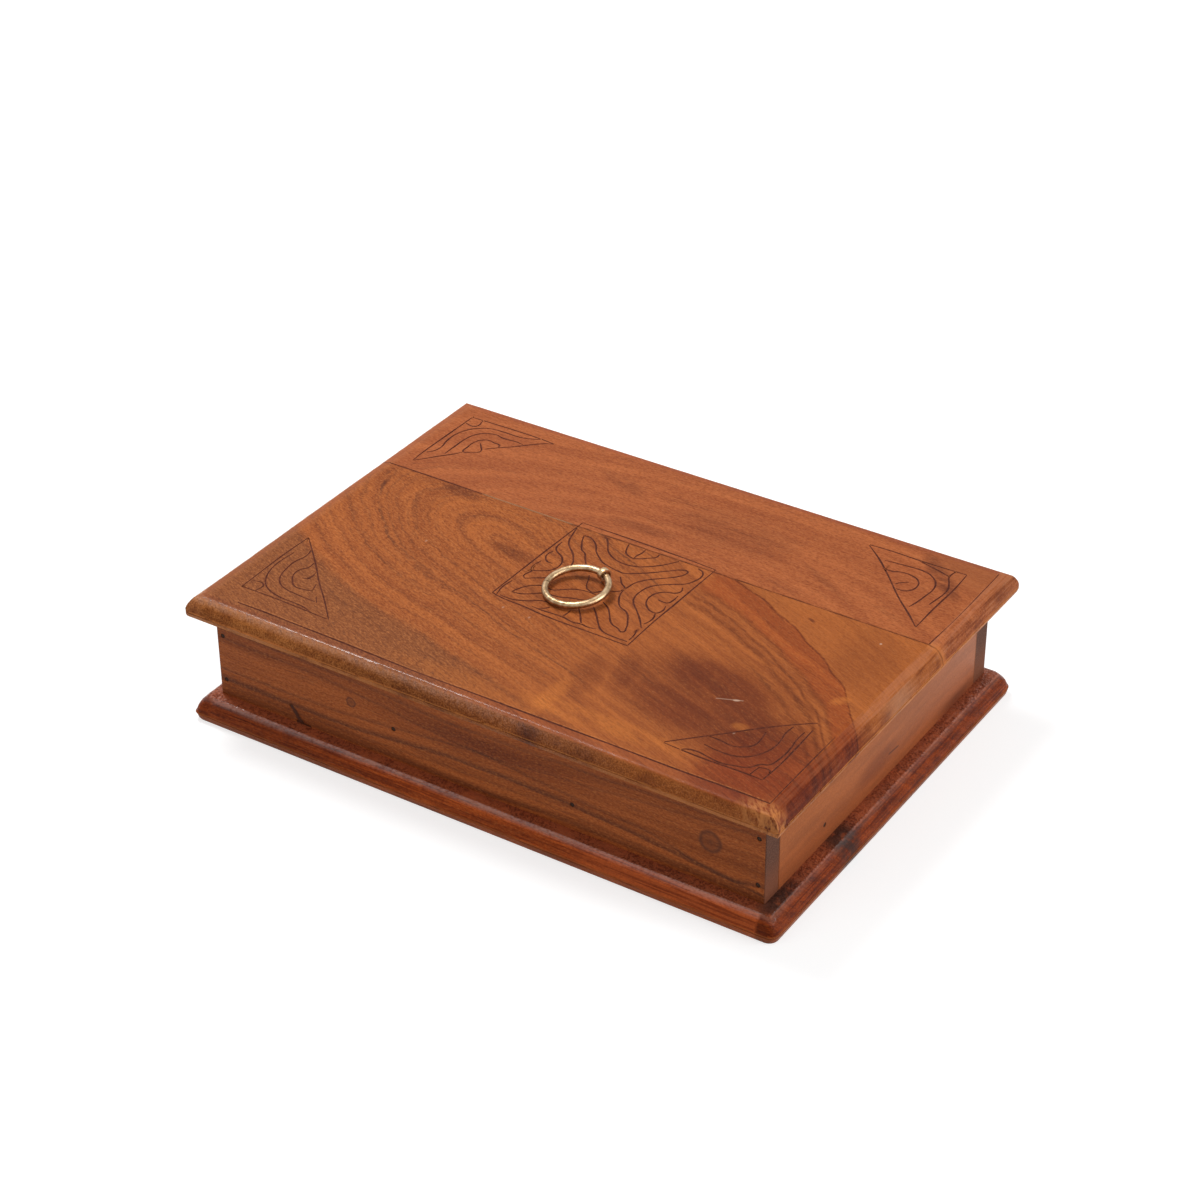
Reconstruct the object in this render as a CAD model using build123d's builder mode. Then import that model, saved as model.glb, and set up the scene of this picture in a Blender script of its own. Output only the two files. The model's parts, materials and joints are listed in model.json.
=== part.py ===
from build123d import *
from math import asin, cos, degrees, hypot, radians, sin
import os

os.makedirs("parts", exist_ok=True)

# A low wooden box: a moulded base of two boards, four nailed walls with partitions,
# and a loose carved lid of two boards with a brass pull ring at its centre.
# X runs along the front, Y to the back and Z up, from the middle of the underside.

# Base board
base_end_overhang = 12.3
base_side_overhang = 11.5
base_thickness = 14.0
base_joint_y = 58.0
base_band = 4.4
base_step = 0.35
base_foot_inset = 0.8
base_foot_bevel = 0.8
base_crest_inset = 5.1
base_crest_drop = 1.0
base_swell = 0.55
base_shelf_inset = 10.5
base_corner_radius = 3.0

# Walls
case_length = 331.0
case_width = 233.0
wall_height = 49.6
wall_thickness = 13.2
wall_arris = 0.6

# Lid board
lid_end_overhang = 12.3
lid_side_overhang = 10.5
lid_thickness = 12.4
lid_seam_y = 40.5
lid_band = 3.4
lid_step = 0.35
lid_foot_inset = 0.9
lid_foot_bevel = 0.5
lid_crest_inset = 4.9
lid_crest_drop = 0.9
lid_swell = 0.65
lid_shelf_inset = 9.5
lid_seat_gap = 0.2
lid_corner_radius = 2.3

# Partitions
divider_left_x = -52.5
divider_right_x = 56.0
divider_thickness = 8.0
divider_height = 38.0
partition_y = -58.4
partition_thickness = 8.0
partition_height = 36.0
partition_housing = 2.5

# Cleats under the lid
batten_width = 18.0
batten_thickness = 8.0
batten_clearance = 1.0
batten_end_gap = 1.5
batten_chamfer = 1.5

# Nails
nail_shank_radius = 0.9
nail_head_radius = 1.3
nail_head_thickness = 0.8
nail_set = 0.35
nail_grip = 0.05
nail_head_clearance = 0.05
wall_nail_length = 30.0
base_nail_length = 34.0
batten_nail_length = 16.0
corner_nail_inset = 3.9
corner_nail_heights = (10.0, 37.5)
divider_nail_left_height = 19.4
divider_nail_right_height = 15.2
partition_nail_height = 10.2
base_nail_spacing_x = 118.0
base_nail_spacing_y = 70.0
front_plank_batten_nails = (-80.0, -15.0)
rear_plank_batten_nails = (60.0, 90.0)

# Pull ring and its staple
ring_outer_diameter = 37.0
ring_wire_diameter = 3.8
ring_rest_gap = 0.2
ring_heading = 63.5
ring_butt_angle = 130.0
ring_butt_gap = 0.35
ring_pivot_rise = 5.4
eye_play = 0.3
eye_clearance = 0.7
eye_band = 0.9
staple_width = 3.0
staple_slot = 0.2
staple_foot_length = 11.0
staple_hole_clearance = 0.15

# Lengths, heights and faces that follow
base_length = case_length + 2 * base_end_overhang
base_width = case_width + 2 * base_side_overhang
lid_length = case_length + 2 * lid_end_overhang
lid_width = case_width + 2 * lid_side_overhang
base_top = base_thickness
wall_top = base_top + wall_height
lid_bottom = wall_top + lid_seat_gap
lid_top = lid_bottom + lid_thickness
inner_length = case_length - 2 * wall_thickness
inner_width = case_width - 2 * wall_thickness
wall_middle_x = (case_length - wall_thickness) / 2
wall_middle_y = (case_width - wall_thickness) / 2


def board_profile(
    half, thickness, band, step, foot_inset, foot_bevel, crest_inset, crest_drop, swell, shelf_inset
):
    """Half of a moulded board's section, from its middle out to its moulded edge."""
    crest_height = thickness - crest_drop
    with BuildLine() as outline:
        Polyline(
            (0, 0),
            (half - foot_inset - foot_bevel, 0),
            (half - foot_inset, foot_bevel),
            (half, band),
            (half - step, band),
        )
        SagittaArc((half - step, band), (half - crest_inset, crest_height), -swell)
        Polyline(
            (half - crest_inset, crest_height),
            (half - shelf_inset, thickness),
            (0, thickness),
            (0, 0),
        )
    return outline.line


def moulded_board(length, width, thickness, bottom, corner_radius, section):
    """A board moulded round all four edges, with mitred and slightly rounded corners."""
    with BuildPart() as board:
        with BuildSketch(Plane.YZ):
            add(section(width / 2))
            make_face()
            mirror(about=Plane.YZ)
        extrude(amount=length / 2, both=True)
        with BuildSketch(Plane.XZ):
            add(section(length / 2))
            make_face()
            mirror(about=Plane.YZ)
        extrude(amount=width / 2, both=True, mode=Mode.INTERSECT)
        with BuildSketch():
            RectangleRounded(length, width, corner_radius)
        extrude(amount=thickness, mode=Mode.INTERSECT)
    return board.part.moved(Location((0, 0, bottom)))


def lid_section(half):
    return board_profile(
        half,
        lid_thickness,
        lid_band,
        lid_step,
        lid_foot_inset,
        lid_foot_bevel,
        lid_crest_inset,
        lid_crest_drop,
        lid_swell,
        lid_shelf_inset,
    )


def base_section(half):
    return board_profile(
        half,
        base_thickness,
        base_band,
        base_step,
        base_foot_inset,
        base_foot_bevel,
        base_crest_inset,
        base_crest_drop,
        base_swell,
        base_shelf_inset,
    )


def nail(length):
    """A nail with its head's face at the origin, driven along -Z."""
    with BuildPart() as wire_nail:
        with Locations((0, 0, -nail_head_thickness / 2)):
            Cylinder(nail_head_radius, nail_head_thickness)
        with Locations((0, 0, -length / 2)):
            Cylinder(nail_shank_radius, length)
        tip = wire_nail.faces().sort_by(Axis.Z)[0].edges()
        chamfer(tip, nail_shank_radius / 2)
    return wire_nail.part


def nail_bore(length):
    """The hole that such a nail makes: tight on the shank, open above the head."""
    head_depth = nail_set + nail_head_thickness
    with BuildPart() as bore:
        with Locations((0, 0, nail_set - head_depth / 2)):
            Cylinder(nail_head_radius + nail_head_clearance, head_depth)
        with Locations((0, 0, -length / 2)):
            Cylinder(nail_shank_radius - nail_grip, length)
    return bore.part


# Where each nail's head stands, and which way it is driven
def driven_back(x, z):
    return Location((x, nail_set - case_width / 2, z), (90, 0, 0))


def driven_forward(x, z):
    return Location((x, case_width / 2 - nail_set, z), (-90, 0, 0))


corner_nail_x = case_length / 2 - corner_nail_inset
corner_places = []
for side in (-1, 1):
    for height in corner_nail_heights:
        corner_places.append(driven_back(side * corner_nail_x, base_top + height))
        corner_places.append(driven_forward(side * corner_nail_x, base_top + height))

divider_places = []
for x, height in (
    (divider_left_x, divider_nail_left_height),
    (divider_right_x, divider_nail_right_height),
):
    divider_places.append(driven_back(x, base_top + height))
    divider_places.append(driven_forward(x, base_top + height))

partition_place = Location(
    (case_length / 2 - nail_set, partition_y, base_top + partition_nail_height),
    (0, 90, 0),
)

base_places = []
for side in (-1, 1):
    for step in (-1, 0, 1):
        spot = (step * base_nail_spacing_x, side * wall_middle_y, nail_set)
        base_places.append(Location(spot, (180, 0, 0)))
    for end in (-1, 1):
        spot = (side * wall_middle_x, end * base_nail_spacing_y / 2, nail_set)
        base_places.append(Location(spot, (180, 0, 0)))

batten_x = inner_length / 2 - batten_clearance - batten_width / 2
batten_bottom = lid_bottom - batten_thickness
batten_places = []
for side in (-1, 1):
    for y in front_plank_batten_nails + rear_plank_batten_nails:
        spot = (side * batten_x, y, batten_bottom + nail_set)
        batten_places.append(Location(spot, (180, 0, 0)))

wall_nail = nail(wall_nail_length)
base_nail = nail(base_nail_length)
batten_nail = nail(batten_nail_length)
wall_bore = nail_bore(wall_nail_length)
base_bore = nail_bore(base_nail_length)
batten_bore = nail_bore(batten_nail_length)

# Base
base_board = moulded_board(
    base_length, base_width, base_thickness, 0, base_corner_radius, base_section
)

with BuildPart() as base_front_plank:
    add(base_board)
    split(bisect_by=Plane.XZ.offset(-base_joint_y), keep=Keep.TOP)
    with Locations(*base_places):
        add(base_bore, mode=Mode.SUBTRACT)

with BuildPart() as base_rear_plank:
    add(base_board)
    split(bisect_by=Plane.XZ.offset(-base_joint_y), keep=Keep.BOTTOM)
    with Locations(*base_places):
        add(base_bore, mode=Mode.SUBTRACT)


def long_wall(side):
    """A front or back wall: it runs the full length and covers the side walls' ends."""
    with BuildPart() as wall:
        with Locations((0, side * wall_middle_y, base_top + wall_height / 2)):
            Box(case_length, wall_thickness, wall_height)
        chamfer(wall.edges().filter_by(Axis.Z), wall_arris / 2)
        with Locations(*corner_places, *divider_places):
            add(wall_bore, mode=Mode.SUBTRACT)
        with Locations(*base_places):
            add(base_bore, mode=Mode.SUBTRACT)
    return wall.part


def side_wall(side):
    """A left or right wall, between the front and back walls."""
    with BuildPart() as wall:
        with Locations((side * wall_middle_x, 0, base_top + wall_height / 2)):
            Box(wall_thickness, inner_width, wall_height)
        with Locations(*corner_places, partition_place):
            add(wall_bore, mode=Mode.SUBTRACT)
        with Locations(*base_places):
            add(base_bore, mode=Mode.SUBTRACT)
    return wall.part


# Walls
front_wall = long_wall(-1)
back_wall = long_wall(1)
left_wall = side_wall(-1)
right_wall = side_wall(1)

# Partitions
housing_face = divider_right_x + divider_thickness / 2 - partition_housing
partition_length = inner_length / 2 - housing_face
partition_middle_x = housing_face + partition_length / 2

with BuildPart() as divider_left:
    with Locations((divider_left_x, 0, base_top + divider_height / 2)):
        Box(divider_thickness, inner_width, divider_height)
    with Locations(*divider_places):
        add(wall_bore, mode=Mode.SUBTRACT)

with BuildPart() as divider_right:
    with Locations((divider_right_x, 0, base_top + divider_height / 2)):
        Box(divider_thickness, inner_width, divider_height)
    with Locations((partition_middle_x, partition_y, base_top + divider_height / 2)):
        Box(partition_length, partition_thickness, divider_height, mode=Mode.SUBTRACT)
    with Locations(*divider_places):
        add(wall_bore, mode=Mode.SUBTRACT)

with BuildPart() as small_partition:
    with Locations((partition_middle_x, partition_y, base_top + partition_height / 2)):
        Box(partition_length, partition_thickness, partition_height)
    with Locations(partition_place):
        add(wall_bore, mode=Mode.SUBTRACT)

# Lid
lid_board = moulded_board(
    lid_length, lid_width, lid_thickness, lid_bottom, lid_corner_radius, lid_section
)
staple_thickness = 2 * eye_band + staple_slot
staple_hole_radius = hypot(staple_width, staple_thickness) / 2 + staple_hole_clearance

with BuildPart() as lid_front_plank:
    add(lid_board)
    split(bisect_by=Plane.XZ.offset(-lid_seam_y), keep=Keep.TOP)
    with Locations((0, 0, lid_bottom + lid_thickness / 2)):
        Cylinder(staple_hole_radius, lid_thickness, mode=Mode.SUBTRACT)
    with Locations(*batten_places):
        add(batten_bore, mode=Mode.SUBTRACT)

with BuildPart() as lid_rear_plank:
    add(lid_board)
    split(bisect_by=Plane.XZ.offset(-lid_seam_y), keep=Keep.BOTTOM)
    with Locations(*batten_places):
        add(batten_bore, mode=Mode.SUBTRACT)


def lid_batten(side):
    """A cleat under the lid, just inside a side wall, bevelled on its lower edges."""
    with BuildPart() as batten:
        with Locations((side * batten_x, 0, lid_bottom - batten_thickness / 2)):
            Box(batten_width, inner_width - 2 * batten_end_gap, batten_thickness)
        underside = batten.faces().sort_by(Axis.Z)[0]
        chamfer(underside.edges(), batten_chamfer)
        with Locations(*batten_places):
            add(batten_bore, mode=Mode.SUBTRACT)
    return batten.part


lid_batten_left = lid_batten(-1)
lid_batten_right = lid_batten(1)

# Ring and staple
ring_wire_radius = ring_wire_diameter / 2
ring_mean_radius = ring_outer_diameter / 2 - ring_wire_radius
ring_drop = ring_pivot_rise - ring_wire_radius - ring_rest_gap
ring_tilt = degrees(asin(ring_drop / (2 * ring_mean_radius)))
eye_bore_radius = ring_wire_radius + eye_clearance
eye_outer_radius = eye_bore_radius + eye_band
pivot = Vector(0, 0, lid_top + ring_pivot_rise)
swing_axis = Vector(-sin(radians(ring_heading)), cos(radians(ring_heading)), 0)
heading = Vector(cos(radians(ring_heading)), sin(radians(ring_heading)), 0)
to_pivot = heading * cos(radians(ring_tilt)) + Vector(0, 0, sin(radians(ring_tilt)))
ring_middle = pivot - to_pivot * ring_mean_radius

# The staple's section stands across the swing axis; its loose eye sits a little high
with BuildPart() as ring_staple:
    with BuildSketch(Plane(pivot, x_dir=heading, z_dir=-swing_axis)):
        leg_top = eye_play - eye_bore_radius
        leg_bottom = -ring_pivot_rise - lid_thickness - eye_band
        leg_middle = (leg_top + leg_bottom) / 2
        with Locations((0, eye_play)):
            Circle(eye_outer_radius)
        with Locations((0, leg_middle)):
            Rectangle(staple_thickness, leg_top - leg_bottom)
        with Locations((0, leg_bottom + eye_band / 2)):
            Rectangle(2 * staple_foot_length, eye_band)
        with Locations((0, eye_play)):
            Circle(eye_bore_radius, mode=Mode.SUBTRACT)
        with Locations((0, leg_middle)):
            Rectangle(staple_slot, leg_top - leg_bottom - 2 * eye_band, mode=Mode.SUBTRACT)
    extrude(amount=staple_width / 2, both=True)

# The ring's wire starts and ends at its butt joint
ring_axis = Axis(ring_middle, to_pivot.cross(swing_axis))
butt_turn = radians(ring_butt_angle)
to_butt = to_pivot * cos(butt_turn) + swing_axis * sin(butt_turn)
butt_gap_angle = degrees(ring_butt_gap / ring_mean_radius)
with BuildPart() as pull_ring:
    with BuildSketch(Plane(ring_middle, x_dir=to_butt, z_dir=ring_axis.direction.cross(to_butt))):
        with Locations((ring_mean_radius, 0)):
            Circle(ring_wire_radius)
    revolve(axis=ring_axis, revolution_arc=360 - butt_gap_angle)

# Nails
with BuildPart() as corner_nails:
    with Locations(*corner_places):
        add(wall_nail)

with BuildPart() as divider_nails:
    with Locations(*divider_places):
        add(wall_nail)

with BuildPart() as partition_nail:
    with Locations(partition_place):
        add(wall_nail)

with BuildPart() as base_nails:
    with Locations(*base_places):
        add(base_nail)

with BuildPart() as batten_nails:
    with Locations(*batten_places):
        add(batten_nail)

pieces = {
    "base_front_plank": base_front_plank.part,
    "base_rear_plank": base_rear_plank.part,
    "front_wall": front_wall,
    "back_wall": back_wall,
    "left_wall": left_wall,
    "right_wall": right_wall,
    "divider_left": divider_left.part,
    "divider_right": divider_right.part,
    "small_partition": small_partition.part,
    "corner_nails": corner_nails.part,
    "divider_nails": divider_nails.part,
    "partition_nail": partition_nail.part,
    "base_nails": base_nails.part,
    "lid_front_plank": lid_front_plank.part,
    "lid_rear_plank": lid_rear_plank.part,
    "lid_batten_left": lid_batten_left,
    "lid_batten_right": lid_batten_right,
    "batten_nails": batten_nails.part,
    "ring_staple": ring_staple.part,
    "pull_ring": pull_ring.part,
}
for name, piece in pieces.items():
    piece.label = name
    export_step(piece, f"parts/{name}.step")

print("lid top", round(lid_top, 3), "batten bottom", round(batten_bottom, 3))
print("ring pivot", pivot, "swing axis", swing_axis, "tilt", round(ring_tilt, 3))
print("ring swing", round(180 - 2 * ring_tilt, 3), "ring middle", ring_middle)
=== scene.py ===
import json
import math
from functools import partialmethod

import bmesh
import bpy
from bpy.props import FloatProperty, FloatVectorProperty, IntProperty, PointerProperty
from mathutils import Matrix, Vector


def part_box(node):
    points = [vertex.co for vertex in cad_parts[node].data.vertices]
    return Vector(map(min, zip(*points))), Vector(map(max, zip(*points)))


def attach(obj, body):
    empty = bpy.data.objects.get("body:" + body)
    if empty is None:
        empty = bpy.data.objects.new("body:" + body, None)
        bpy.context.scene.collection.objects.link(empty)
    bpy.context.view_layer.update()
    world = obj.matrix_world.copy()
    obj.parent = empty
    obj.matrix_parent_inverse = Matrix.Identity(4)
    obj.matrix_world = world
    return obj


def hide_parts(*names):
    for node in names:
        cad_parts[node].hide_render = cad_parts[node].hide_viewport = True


bl_info = {
    "name": "Storage Box",
    "version": (1, 0, 0),
    "blender": (4, 5, 0),
    "location": "View3D > Sidebar > Box",
    "description": "Moulded boards, incised lid, nails, ring and staple of a wooden storage box",
    "category": "Object",
}

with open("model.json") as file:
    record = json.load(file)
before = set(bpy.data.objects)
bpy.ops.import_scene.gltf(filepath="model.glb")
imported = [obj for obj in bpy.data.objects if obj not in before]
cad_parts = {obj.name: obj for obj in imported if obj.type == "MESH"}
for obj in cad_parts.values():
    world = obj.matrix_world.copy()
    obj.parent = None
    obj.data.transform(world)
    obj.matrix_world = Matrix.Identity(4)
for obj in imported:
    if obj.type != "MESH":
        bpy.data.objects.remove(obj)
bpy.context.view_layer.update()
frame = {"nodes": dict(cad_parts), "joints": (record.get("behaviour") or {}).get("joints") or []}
MM = 0.001
RING_JOINT = next(joint for joint in frame["joints"] if joint["name"] == "ring_swing")
PIVOT = Vector(RING_JOINT["pos_m"]) / MM
SWING = Vector(RING_JOINT["axis"]).normalized()
HEADING = Vector((SWING.y, -SWING.x, 0)).normalized()
UP = Vector((0, 0, 1))


def join_boxes(*nodes):
    """The lowest and highest corner of several nodes of the frame, in millimetres."""
    boxes = [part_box(node) for node in nodes]
    low = Vector(min(box[0][axis] for box in boxes) for axis in range(3)) / MM
    high = Vector(max(box[1][axis] for box in boxes) for axis in range(3)) / MM
    return low, high


LID_LOW, LID_HIGH = join_boxes("lid_front_plank", "lid_rear_plank")
BASE_LOW, BASE_HIGH = join_boxes("base_front_plank", "base_rear_plank")
WALL_LOW, WALL_HIGH = join_boxes("front_wall", "back_wall")
LID_TOP = LID_HIGH.z
BASE_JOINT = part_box("base_front_plank")[1].y / MM
LID_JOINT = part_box("lid_front_plank")[1].y / MM


def number_property(name, description, default, **options):
    """A number that a user would change."""
    return FloatProperty(name=name, description=description, default=default, **options)


def length_property(name, description, default):
    """A size in millimetres that a user would change."""
    return number_property(name, description, default, min=0.0)


def colour_property(name, description, default):
    """A linear colour that a user would change."""
    return FloatVectorProperty(
        name=name, description=description, default=default, subtype="COLOR", min=0.0, max=1.0
    )


class LidMoulding(bpy.types.PropertyGroup):
    """Sizes of the lid's edge, in millimetres in from the edge and down from the top."""

    band: length_property("Band", "Height of the band at the edge's foot", 3.4)
    step: length_property("Step", "Depth of the ledge over the band", 0.35)
    foot_inset: length_property("Foot inset", "How far the band leans in", 0.9)
    foot_bevel: length_property("Foot bevel", "Bevel of the lowest edge", 0.5)
    crest_inset: length_property("Crest inset", "Where the round meets the shelf", 4.2)
    crest_drop: length_property("Crest drop", "How far the crest lies under the top", 1.1)
    swell: length_property("Swell", "How far the round stands out", 0.85)
    shelf_inset: length_property("Shelf inset", "Where the shelf meets the flat top", 9.5)


class BaseMoulding(bpy.types.PropertyGroup):
    """Sizes of the base's edge, in millimetres in from the edge and down from the top."""

    band: length_property("Band", "Height of the band at the edge's foot", 4.4)
    step: length_property("Step", "Depth of the ledge over the band", 0.35)
    foot_inset: length_property("Foot inset", "How far the band leans in", 0.8)
    foot_bevel: length_property("Foot bevel", "Bevel of the lowest edge", 0.8)
    crest_inset: length_property("Crest inset", "Where the round meets the shelf", 5.1)
    crest_drop: length_property("Crest drop", "How far the crest lies under the top", 1.0)
    swell: length_property("Swell", "How far the round stands out", 1.0)
    shelf_inset: length_property("Shelf inset", "Where the shelf meets the flat top", 10.5)


class Handwork(bpy.types.PropertyGroup):
    """How far the hand tools wandered, in millimetres unless said."""

    scratch: length_property("Scratch line", "Depth of the line cut in the bands", 0.3)
    cut_spacing: length_property("Cut spacing", "Spacing of points along the edges", 2.0)
    waver: length_property("Waver", "Depth of the long waves in the mouldings", 0.45)
    waver_length: length_property("Waver length", "Length of the long waves", 26.0)
    chatter: length_property("Chatter", "Depth of the plane marks in the mouldings", 0.28)
    chatter_length: length_property("Chatter length", "Length of the plane marks", 3.6)
    front_drift: number_property(
        "Front drift", "Turn of the lid's front moulding along its run", 0.0118, unit="ROTATION"
    )
    drift_middle: number_property("Drift middle", "Where the front moulding is true", -45.0)
    seam_gap: length_property("Seam gap", "Half of the gap at the glued joints", 0.05)
    seam_arris: length_property("Seam arris", "Bevel of the joints' upper edges", 0.25)
    seam_slant: number_property("Seam slant", "Turn of the lid's joint", -0.0061, unit="ROTATION")


class Carving(bpy.types.PropertyGroup):
    """The knife that cut the lid's lines, in millimetres."""

    half_width: length_property("Half width", "Half of the carved lines' width", 0.50)
    border_half_width: length_property("Border", "Half of the border line's width", 0.58)
    corner_half_width: length_property("Corner", "Half of the front left lines' width", 0.43)
    faint_half_width: length_property("Faint line", "Half of the faint line's width", 0.35)
    lift: length_property("Lift", "Height of the cutter's middle over the wood", 0.12)
    depth: FloatProperty(
        name="Depth", description="Depth of a line as a share of half its width", default=0.75
    )
    panel: length_property("Panel", "Size of the flat top's working faces", 9.3)
    curve_steps: IntProperty(
        name="Curve steps", description="Steps between two points of a line", default=5, min=1
    )


class Metalwork(bpy.types.PropertyGroup):
    """Sizes of the ring, the staple and the nails, in millimetres."""

    ring_radius: length_property("Ring radius", "From the ring's middle to the wire's", 16.6)
    wire_radius: length_property("Wire radius", "Half of the ring wire's thickness", 1.9)
    ring_gap: length_property("Ring gap", "Space between the ring and the lid at rest", 0.2)
    butt_angle: FloatProperty(
        name="Butt angle", description="From the eye round to the wire's ends",
        default=math.radians(130), unit="ROTATION",
    )
    butt_gap: length_property("Butt gap", "Space between the wire's ends", 0.35)
    hammering: length_property("Hammering", "Depth of the ring's uneven places", 0.12)
    strip: length_property("Strip", "Thickness of the staple's strip", 0.85)
    strip_width: length_property("Strip width", "Width of the staple's strip", 2.9)
    eye_bore: length_property("Eye bore", "Radius of the staple's eye inside", 2.6)
    eye_play: length_property("Eye play", "How far the wire hangs below the eye's middle", 0.3)
    slot: length_property("Slot", "Space between the staple's legs", 0.2)
    foot: length_property("Foot", "Length of the staple's bent feet", 10.0)
    nail_head: length_property("Nail head", "Radius of the nails' heads", 1.26)
    nail_rim: length_property("Nail rim", "Thickness of the nails' heads", 0.75)
    nail_shank: length_property("Nail shank", "Radius of the nails' shanks", 0.84)
    nail_set: length_property("Nail set", "How deep the heads lie", 0.35)


class Colours(bpy.types.PropertyGroup):
    """Linear colours of the finishes."""

    lid_gold: colour_property("Lid gold", "Lightest wood of the front board", (0.455, 0.130, 0.030))
    lid_brown: colour_property("Lid brown", "Darker wood of the front board", (0.33, 0.087, 0.021))
    lid_olive: colour_property("Lid olive", "Dull gold of the front board", (0.275, 0.088, 0.026))
    rear_light: colour_property("Rear light", "Lightest wood of the rear board", (0.475, 0.136, 0.042))
    rear_dark: colour_property("Rear dark", "Darker wood of the rear board", (0.36, 0.094, 0.029))
    wall_light: colour_property("Wall light", "Lightest wood of the walls", (0.485, 0.128, 0.030))
    wall_dark: colour_property("Wall dark", "Darker wood of the walls", (0.285, 0.067, 0.0135))
    base_light: colour_property("Base light", "Lightest wood of the base", (0.66, 0.130, 0.022))
    base_dark: colour_property("Base dark", "Darker wood of the base", (0.36, 0.066, 0.012))
    inner_light: colour_property("Inner light", "Lightest wood inside", (0.40, 0.19, 0.09))
    inner_dark: colour_property("Inner dark", "Darker wood inside", (0.27, 0.115, 0.055))
    streak: colour_property("Streak", "Dark streaks in the wood", (0.11, 0.032, 0.014))
    # Rubbed and pale wear, and also the painted highlights on the lid's crest and on the ledge over
    # its band
    wear_and_highlight: colour_property("Worn", "Rubbed and pale edges", (0.60, 0.22, 0.065))
    # Dirt in the carved lines, darkened further as painted shade in the grooves
    incised: colour_property("Incised", "Dirt in the carved lines", (0.095, 0.026, 0.016))
    brass: colour_property("Brass", "The ring and its staple", (0.62, 0.44, 0.26))
    tarnish: colour_property("Tarnish", "Darker places on the brass", (0.28, 0.165, 0.08))
    iron: colour_property("Iron", "Bare iron of the nails", (0.035, 0.020, 0.014))
    rust: colour_property("Rust", "Rust on the nails", (0.075, 0.027, 0.014))


class Studio(bpy.types.PropertyGroup):
    """Camera, floor and lamps."""

    azimuth: number_property(
        "Azimuth", "Camera's turn from the front", math.radians(33.02), unit="ROTATION"
    )
    elevation: number_property(
        "Elevation", "Camera's height over the horizon", math.radians(32.81), unit="ROTATION"
    )
    roll: number_property("Roll", "Camera's roll", 0.006, unit="ROTATION")
    focal_length: number_property("Focal length", "On a 36 mm sensor", 87.13, min=1.0)
    camera_place: FloatVectorProperty(
        name="Camera place", description="Camera, in metres",
        default=(0.6916, -1.0683, 0.8866), subtype="TRANSLATION",
    )
    floor_size: number_property("Floor size", "Side of the floor", 12.0, unit="LENGTH")
    floor_white: number_property("Floor white", "How pale the floor is", 0.50, min=0.0, max=1.0)
    floor_glow: number_property(
        "Floor glow", "Light that the floor adds for the camera", 0.68, min=0.0
    )
    world_light: number_property("World light", "Strength of the room's light", 0.40, min=0.0)
    top_light: number_property("Top light", "Power of the lamp overhead", 14.0, unit="POWER")
    front_light: number_property("Front light", "Power of the lamp in front", 5.5, unit="POWER")
    side_light: number_property("Side light", "Power of the lamp at the right", 14.0, unit="POWER")


def settings(name):
    """One of this add-on's groups of settings."""
    return getattr(bpy.context.scene, "box_" + name)


# How near, in millimetres, two places count as one
CLOSE = 0.01
# Radius of each corner, named by its sides in x and y
LID_CORNERS = {(-1, -1): 2.2, (1, -1): 2.3, (1, 1): 2.0, (-1, 1): 2.8}
BASE_CORNERS = {(-1, -1): 4.5, (1, -1): 5.0, (1, 1): 6.0, (-1, 1): 4.0}
# The nails: along and up in the walls, along and across in the base and the cleats
CORNER_NAILS = [(x, z) for x in (-161.6, 161.6) for z in (24, 51.5)]
DIVIDER_NAILS = [(-52.5, 33.4), (56, 29.2)]
PARTITION_NAIL = (-58.4, 24.2)
BASE_NAILS = [(x, y) for x in (-118, 0, 118) for y in (-109.9, 109.9)] + [
    (x, y) for x in (-158.9, 158.9) for y in (-35, 35)
]
BATTEN_NAILS = [(x, y) for x in (-142.3, 142.3) for y in (-80, -15, 60, 90)]
NAIL_LENGTHS = {"corner_nails": 30, "divider_nails": 30, "partition_nail": 30, "base_nails": 34,
                "batten_nails": 16}
BATTEN_DEPTH = 8
# The lamps' places and sizes, in metres
TOP_LAMP = ((-0.70, 0.26, 1.41), 0.5)
FRONT_LAMP = ((-0.6, -1.5, 0.85), 1.2)
SIDE_LAMP = ((1.5, 0.25, 0.65), 1.0)


# Modelling tools


def select_none():
    """Leaves edit mode and deselects every object."""
    if bpy.context.mode != "OBJECT":
        bpy.ops.object.mode_set(mode="OBJECT")
    bpy.ops.object.select_all(action="DESELECT")


def work_on(piece):
    """Makes one object the only selected one."""
    select_none()
    piece.select_set(True)
    bpy.context.view_layer.objects.active = piece


def edit(piece):
    """Opens one object in edit mode, with all of it selected."""
    work_on(piece)
    bpy.ops.object.mode_set(mode="EDIT")
    bpy.ops.mesh.select_all(action="SELECT")


def begin(kind, name, **options):
    """Adds a primitive, alone, as the start of a piece."""
    select_none()
    getattr(bpy.ops.mesh, f"primitive_{kind}_add")(**options)
    bpy.context.object.name = name
    return bpy.context.object


def link(made):
    """Puts a new object in the scene."""
    bpy.context.scene.collection.objects.link(made)
    return made


def apply_place():
    """Moves the selected object's place, turn and scale into its mesh."""
    bpy.ops.object.transform_apply(location=True, rotation=True, scale=True)


def extrude(offset):
    """In edit mode, extrudes what is selected by an offset in metres."""
    bpy.ops.mesh.extrude_region_move(TRANSFORM_OT_translate={"value": offset})


def resize(*factors, middle=(0, 0, 0)):
    """In edit mode, resizes what is selected about a place in metres."""
    bpy.ops.transform.resize(value=factors, center_override=middle)


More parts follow.
